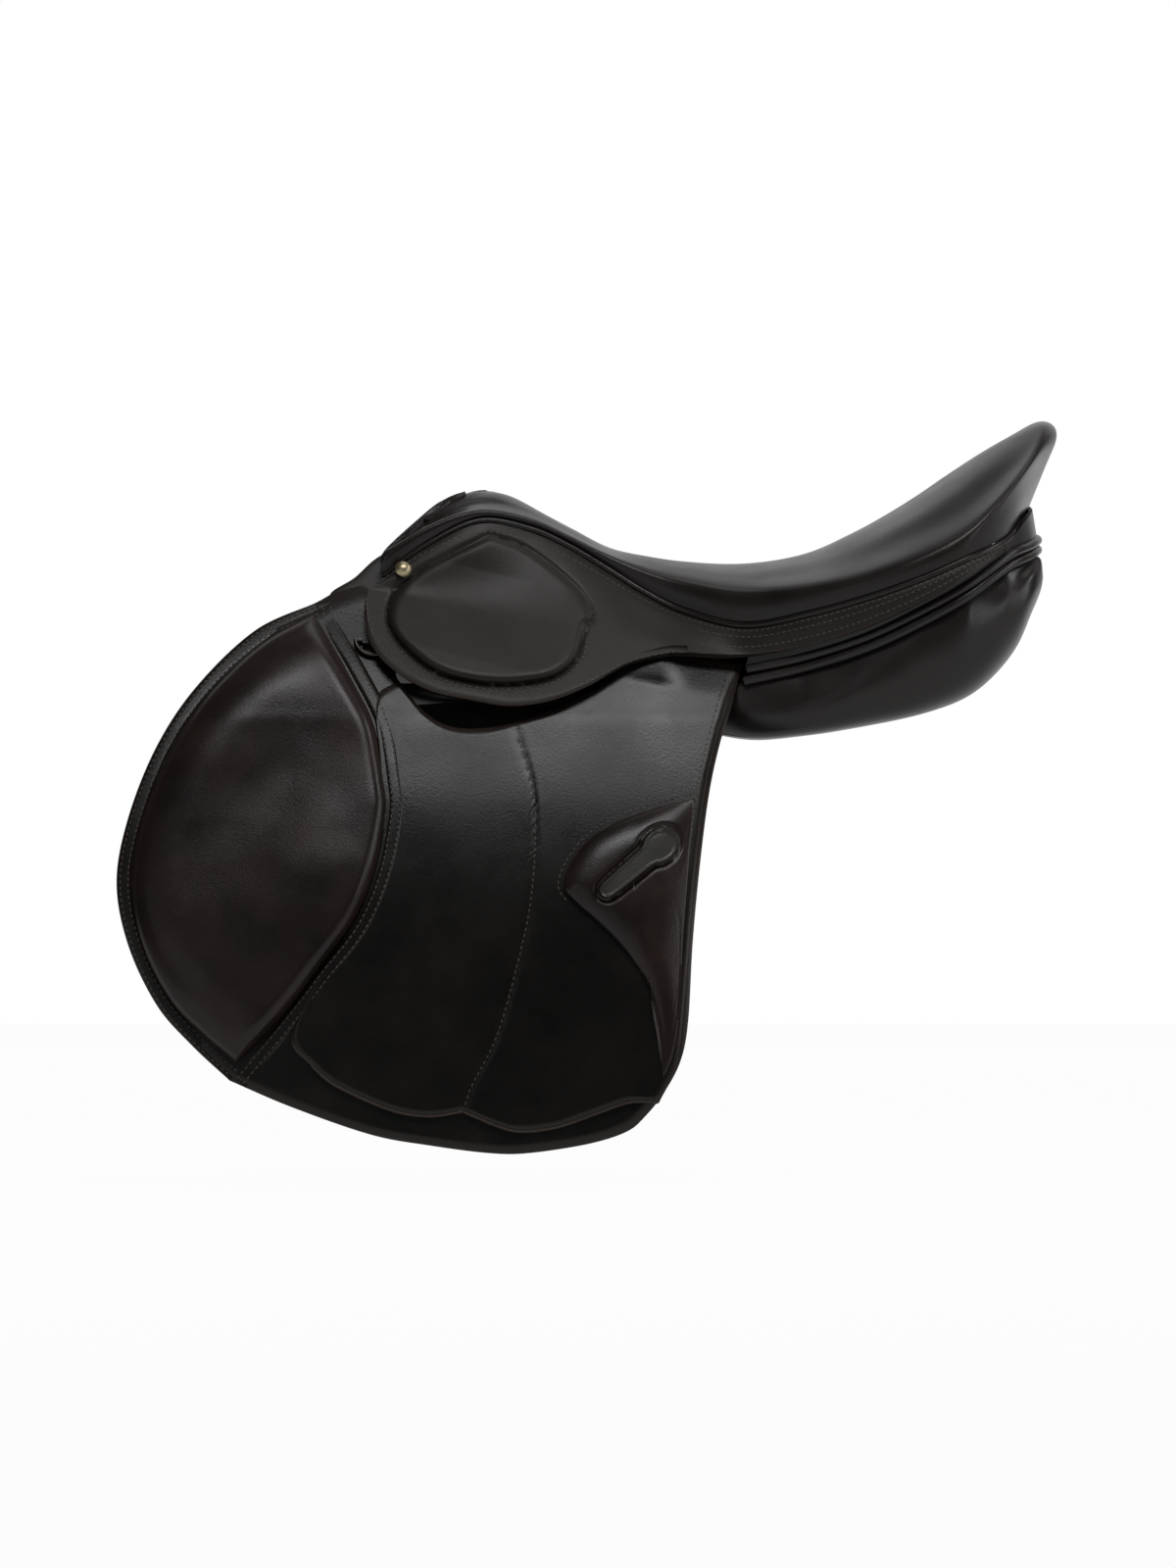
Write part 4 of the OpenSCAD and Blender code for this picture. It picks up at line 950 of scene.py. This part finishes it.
def overlay_top(x, z):
    """Half width of the overlay's outer face. It thins out under the skirt and dips along the seam."""
    thick = OVERLAY_H
    if x > FLAP_BEND_X:
        thick *= max(OVERLAY_THIN, ramp(fold_at(x)[2] - z, *OVERLAY_THIN_RUN))
    return flap_face(x, z) + thick - SEAM_DIP * math.exp(-(distance(seam_line, x, z) / SEAM_DIP_W) ** 2)


def on_flap(line, height):
    """Points in mm at a height over the flap, along a line in x and z."""
    return [(x, -flap_face(x, z) - height, z) for x, z in line]


overlay = pad(overlay_line, OVERLAY_MIDDLE, OVERLAY_RINGS, overlay_top, under_pad)
pair("overlay", overlay, flap_leather, "flap", "flap_leather", ["overlay"])
stitch_row(flap_thread, on_flap(seam_line[SEAM_SKIP:], OVERLAY_H - SEAM_THREAD_IN))
rear_row = shifted(smooth_line(OVERLAY_REAR[2:], 80), REAR_ROW_OFF)
stitch_row(flap_thread, on_flap(rear_row, OVERLAY_H + THREAD_OUT))
raw_edge = leather("cut_leather_edge", "#2e2723", "#463c35", 0.6)
for name, run in (("front", OVERLAY_LOW[2:]), ("rear", OVERLAY_LOW_REAR)):
    edge = cord_along(on_flap(smooth_line(run, 60), OVERLAY_H - CUT_IN), CUT_R, CUT_COLUMNS, sides=8)
    pair(f"overlay_edge_{name}", edge, raw_edge, "flap", "flap_leather")


# Thigh pad
# A low padded field at the back of the flap, sewn down round its edge, with a groove pressed into it for
# the tag.
THIGH_H = 8.5
THIGH_RINGS = 46
THIGH_IN = 1.0
THIGH_RUN = 20
THIGH_RUN_OUT = 32.0
THIGH_ROW_OFF = 3.0
TAG_GROOVE = 2.2
TAG_GROOVE_OUT = 1.4
TAG_GROOVE_W = 1.5
THIGH = [(-7, -44), (-39, -53), (-64, -63), (-82, -77), (-94, -100), (-87, -112), (-70, -127), (-50, -148),
         (-37, -170), (-30, -197), (-28, -229)]
THIGH_REAR = [(-28, -229), (-22, -214), (-18, -190), (-15, -139), (-11, -87), (-7, -44)]
THIGH_MIDDLE = np.array([-48.0, -100.0])
TAG_AT = np.array([-45.0, -88.0])
TAG_TURN = math.radians(40)
TAG = [(-32, 0), (-30, -4), (-24, -5.8), (-5, -6.6), (8, -7.2), (14, -10), (22, -10.4), (29, -7), (32, 0),
       (29, 7), (22, 10.4), (14, 10), (8, 7.2), (-5, 6.6), (-24, 5.8), (-30, 4)]
tag_along = np.array([math.cos(TAG_TURN), math.sin(TAG_TURN)])
tag_across = np.array([-tag_along[1], tag_along[0]])
tag_shape = smooth_line(TAG + TAG[:1], 121)[:-1]
tag_line = TAG_AT + tag_shape[:, :1] * tag_along + tag_shape[:, 1:] * tag_across
tag_depth = depth_in(tag_line)
thigh_front = smooth_line(THIGH, 101)
thigh_rear = smooth_line(THIGH_REAR, 61)
thigh_line = np.vstack([thigh_front[:-1], thigh_rear[:-1]])


def thigh_top(x, z):
    """Half width of the thigh pad's outer face. It runs out flat behind."""
    edge = crown(distance(thigh_front, x, z), THIGH_RUN)
    behind = ramp(distance(thigh_rear, x, z), 0, THIGH_RUN_OUT)
    swell = THIGH_H * behind * (2 - behind)
    groove = TAG_GROOVE * math.exp(-((tag_depth(x, z) + TAG_GROOVE_OUT) / TAG_GROOVE_W) ** 2)
    return flap_face(x, z) + OVERLAY_H + (swell - groove) * edge


thigh = pad(thigh_line, THIGH_MIDDLE, THIGH_RINGS, thigh_top, lambda x, z: flap_face(x, z) + THIGH_IN)
for made in pair("thigh_pad", thigh, pad_leather, "flap", "pad_leather", ["thigh_pad"]):
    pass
thigh_row = shifted(smooth_line(THIGH[:6], 80), -THIGH_ROW_OFF)
stitch_row(flap_thread, on_flap(thigh_row, OVERLAY_H + THREAD_OUT))
pair("flap_stitches", flap_thread, thread_material, "flap", "flap_leather")


# Tag
# A plain leather tag with a raised rim, sewn into a groove pressed in the thigh pad.
TAG_H = 2.4
TAG_RINGS = 24
TAG_IN = 0.5
TAG_EDGE = 1.0
TAG_RIM = 0.7
TAG_RIM_AT = 1.3
TAG_RIM_W = 0.7
tag_leather = leather("tag_leather", "#1b1a18", "#2b2926", 0.36, shine=0.4)


def tag_top(x, z):
    """Half width of the tag's face, with its rim."""
    depth = tag_depth(x, z)
    rim = TAG_RIM * math.exp(-((depth - TAG_RIM_AT) / TAG_RIM_W) ** 2)
    return thigh_top(x, z) + TAG_H * crown(depth, TAG_EDGE) + rim


tag = pad(tag_line, TAG_AT, TAG_RINGS, tag_top, lambda x, z: thigh_top(x, z) - TAG_IN)
pair("plain_tag", tag, tag_leather, "flap", "tag", ["tag"])


# Head lobes
# A leather cover over each point of the tree in front of the skirt, nailed down under the seat.
LOBE_T = 3.0
LOBE_IN = 1.6
LOBE_EASE = 1.2
LOBE_RINGS = 12
LOBE = [(-204, 122), (-219, 113), (-232, 101), (-248, 90), (-240, 80), (-222, 80), (-204, 92)]
LOBE_MIDDLE = np.array([-221.0, 96.0])
lobe_line = smooth_line(LOBE + LOBE[:1], 90)[:-1]


def lobe_top(x, z):
    """Half width of the lobe's outer face, behind the flap."""
    return flap_face(x, z) - FLAP_T - LOBE_IN


lobe = pad(lobe_line, LOBE_MIDDLE, LOBE_RINGS, lobe_top, lambda x, z: lobe_top(x, z) - LOBE_T, LOBE_EASE)
pair("head_lobe", lobe, skirt_leather, BODY, "skirt_leather")


# Panels
# Two long bags of soft leather stuffed with wool, one each side of the spine channel. They are nailed and
# laced under the tree, thin at the front and full and round behind. The pommel facing and the lining of
# the gullet are of the same leather.
PANEL_POWER = 2.6
PANEL_COLUMNS = 120
PANEL_ROWS = 72
PANEL_SPLIT = 0.6
PANEL_SWELL = 0.9
PANEL_SWELL_W = 40
SEAM_TURN = 0.7
SEAM_REACH = 0.5
SEAM_START_X = 25
SEAM_FULL_W = 20
SEAM_IN = 1.5
SEAM_DROP = 2.6
REAR_X = 199.0
REAR_TURN_IN = 1.5
REAR_CLIMB = 0.45
# Stations from front to rear: x, distance from the middle, z, half width, half depth and slope in degrees.
PANEL = [(-210, 42, 36, 0.5, 0.3, 50), (-206, 42, 36, 15, 8, 50), (-180, 43, 33, 23, 12, 48),
         (-120, 44, 30, 25, 13, 46), (-60, 48, 29, 28, 17, 41), (-10, 52.2, 24, 29, 16, 37),
         (30, 65, 22, 39, 19, 32), (70, 76, 29, 46, 23, 27), (110, 79, 36, 46, 27, 22),
         (150, 78, 47, 46, 31, 17), (180, 75, 64, 43, 36, 12), (204, 70, 86, 37, 33, 5),
         (215, 66, 97, 30, 20, 2), (221.3, 63, 101, 15, 9, 0), (223, 63, 101, 0.5, 0.4, 0)]
LOWER_WELT = [(24, -95.5, 32), (64, -105.5, 40.5), (105, -118.5, 53.5), (141, -123.5, 70.5),
              (172, -120.5, 88), (199, -100.5, 107.5), (213.5, -76, 114.5), (219.5, -47, 119),
              (220.5, 0, 120.5), (220.5, 4, 120.5)]
panel_leather = leather("calf_leather_panel", "#110e0d", "#1a1614", 0.33, shine=0.32, coat=0.04)
dress(panel_leather, ["pommel_facing", "gullet_lining"])
panel_stations = smooth_line(PANEL, PANEL_COLUMNS + 1)
seam_x, seam_y, seam_z = np.array(LOWER_WELT, float).T


def panel_section(station, turn):
    """Point of a panel's plain section: turn 0 is its outer end, and a quarter turn its top."""
    x, middle, z, wide, deep, slope = station
    c, s = math.cos(turn), math.sin(turn)
    across = wide * math.copysign(abs(c) ** (2 / PANEL_POWER), c)
    up = deep * math.copysign(abs(s) ** (2 / PANEL_POWER), s)
    tilt = math.radians(slope)
    return np.array([x, -middle - across * math.cos(tilt) - up * math.sin(tilt),
                     z - across * math.sin(tilt) + up * math.cos(tilt)])


def panel_place(u, v):
    """The section drawn up behind to the welt that it is sewn to."""
    station = panel_stations[round(u * PANEL_COLUMNS)]
    x, wide = station[0], station[3]
    turn = 2 * math.pi * (v if v < PANEL_SPLIT else v - 1)
    past = max(0.0, x - REAR_X)
    seam = np.array([x, np.interp(x - past, seam_x, seam_y) + SEAM_IN + REAR_TURN_IN * past,
                     np.interp(x - past, seam_x, seam_z) - SEAM_DROP + REAR_CLIMB * past])
    sewn = ramp(x, 0, SEAM_START_X) * ramp(wide, 0, SEAM_FULL_W)
    near = math.exp(-((turn - SEAM_TURN) / SEAM_REACH) ** 2)
    return panel_section(station, turn) + sewn * near * (seam - panel_section(station, SEAM_TURN))


panel = uneven(grid(PANEL_COLUMNS, PANEL_ROWS, panel_place), PANEL_SWELL, PANEL_SWELL_W)
for made in pair("panel", panel, panel_leather, BODY, "panel_leather", ["panel"], smooth=1):
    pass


# Panel facings and welts
# A narrow wall of leather between the skirt's band and each panel, which runs round under the cantle. Two
# corded welts close its seam with the panel.
FACING_T = 2.5
FACING_IN = 5.8
FACING_UP = 5
FACING_REAR_UP = 3
FACING_REAR_X = 190
FACING_LOW_UP = 1.0
FACING_COLUMNS = 140
FACING_ROWS = 8
FACING_OUT = (0.3, -1, 0.2)
WELT_R = 3.3
WELT_COLUMNS = 160
UPPER_WELT = [(26, -95, 39.5), (64, -105, 47.5), (105, -118, 60.5), (141, -123, 77.5), (172, -120, 95),
              (199, -100, 114.5), (213, -74, 121), (219.5, -45, 125.5), (220.5, 0, 127), (220.5, 4, 127)]
FACING_REAR = [(211, -77, 138), (216.5, -48, 145), (217, 0, 148.5), (217, 4, 148.5)]
facing_top = [(x, y + FACING_IN, z + (FACING_UP if x < FACING_REAR_X else FACING_REAR_UP))
              for x, y, z in BAND_LOW]
facing_low = np.array(UPPER_WELT) + (0, 0, FACING_LOW_UP)
facing_lines = smooth_line(np.hstack([np.array(facing_top + FACING_REAR), facing_low]), FACING_COLUMNS + 1)


def facing_place(u, v):
    """From the band down to the welt."""
    line = facing_lines[round(u * FACING_COLUMNS)]
    return line[:3] + (line[3:] - line[:3]) * v


facing = facing_out(grid(FACING_COLUMNS, FACING_ROWS, facing_place), FACING_OUT)
pair("panel_facing", facing, panel_leather, BODY, "panel_leather", ["panel_facing"], wall=FACING_T)
upper_welt = cord_along(UPPER_WELT, WELT_R, WELT_COLUMNS)
pair("upper_welt", upper_welt, panel_leather, BODY, "panel_leather", ["panel_welt"])
lower_welt = cord_along(LOWER_WELT, WELT_R, WELT_COLUMNS)
pair("lower_welt", lower_welt, panel_leather, BODY, "panel_leather")

size = {"cad": [list(c) for c in cad_box], "visual": [list(c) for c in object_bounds()]}
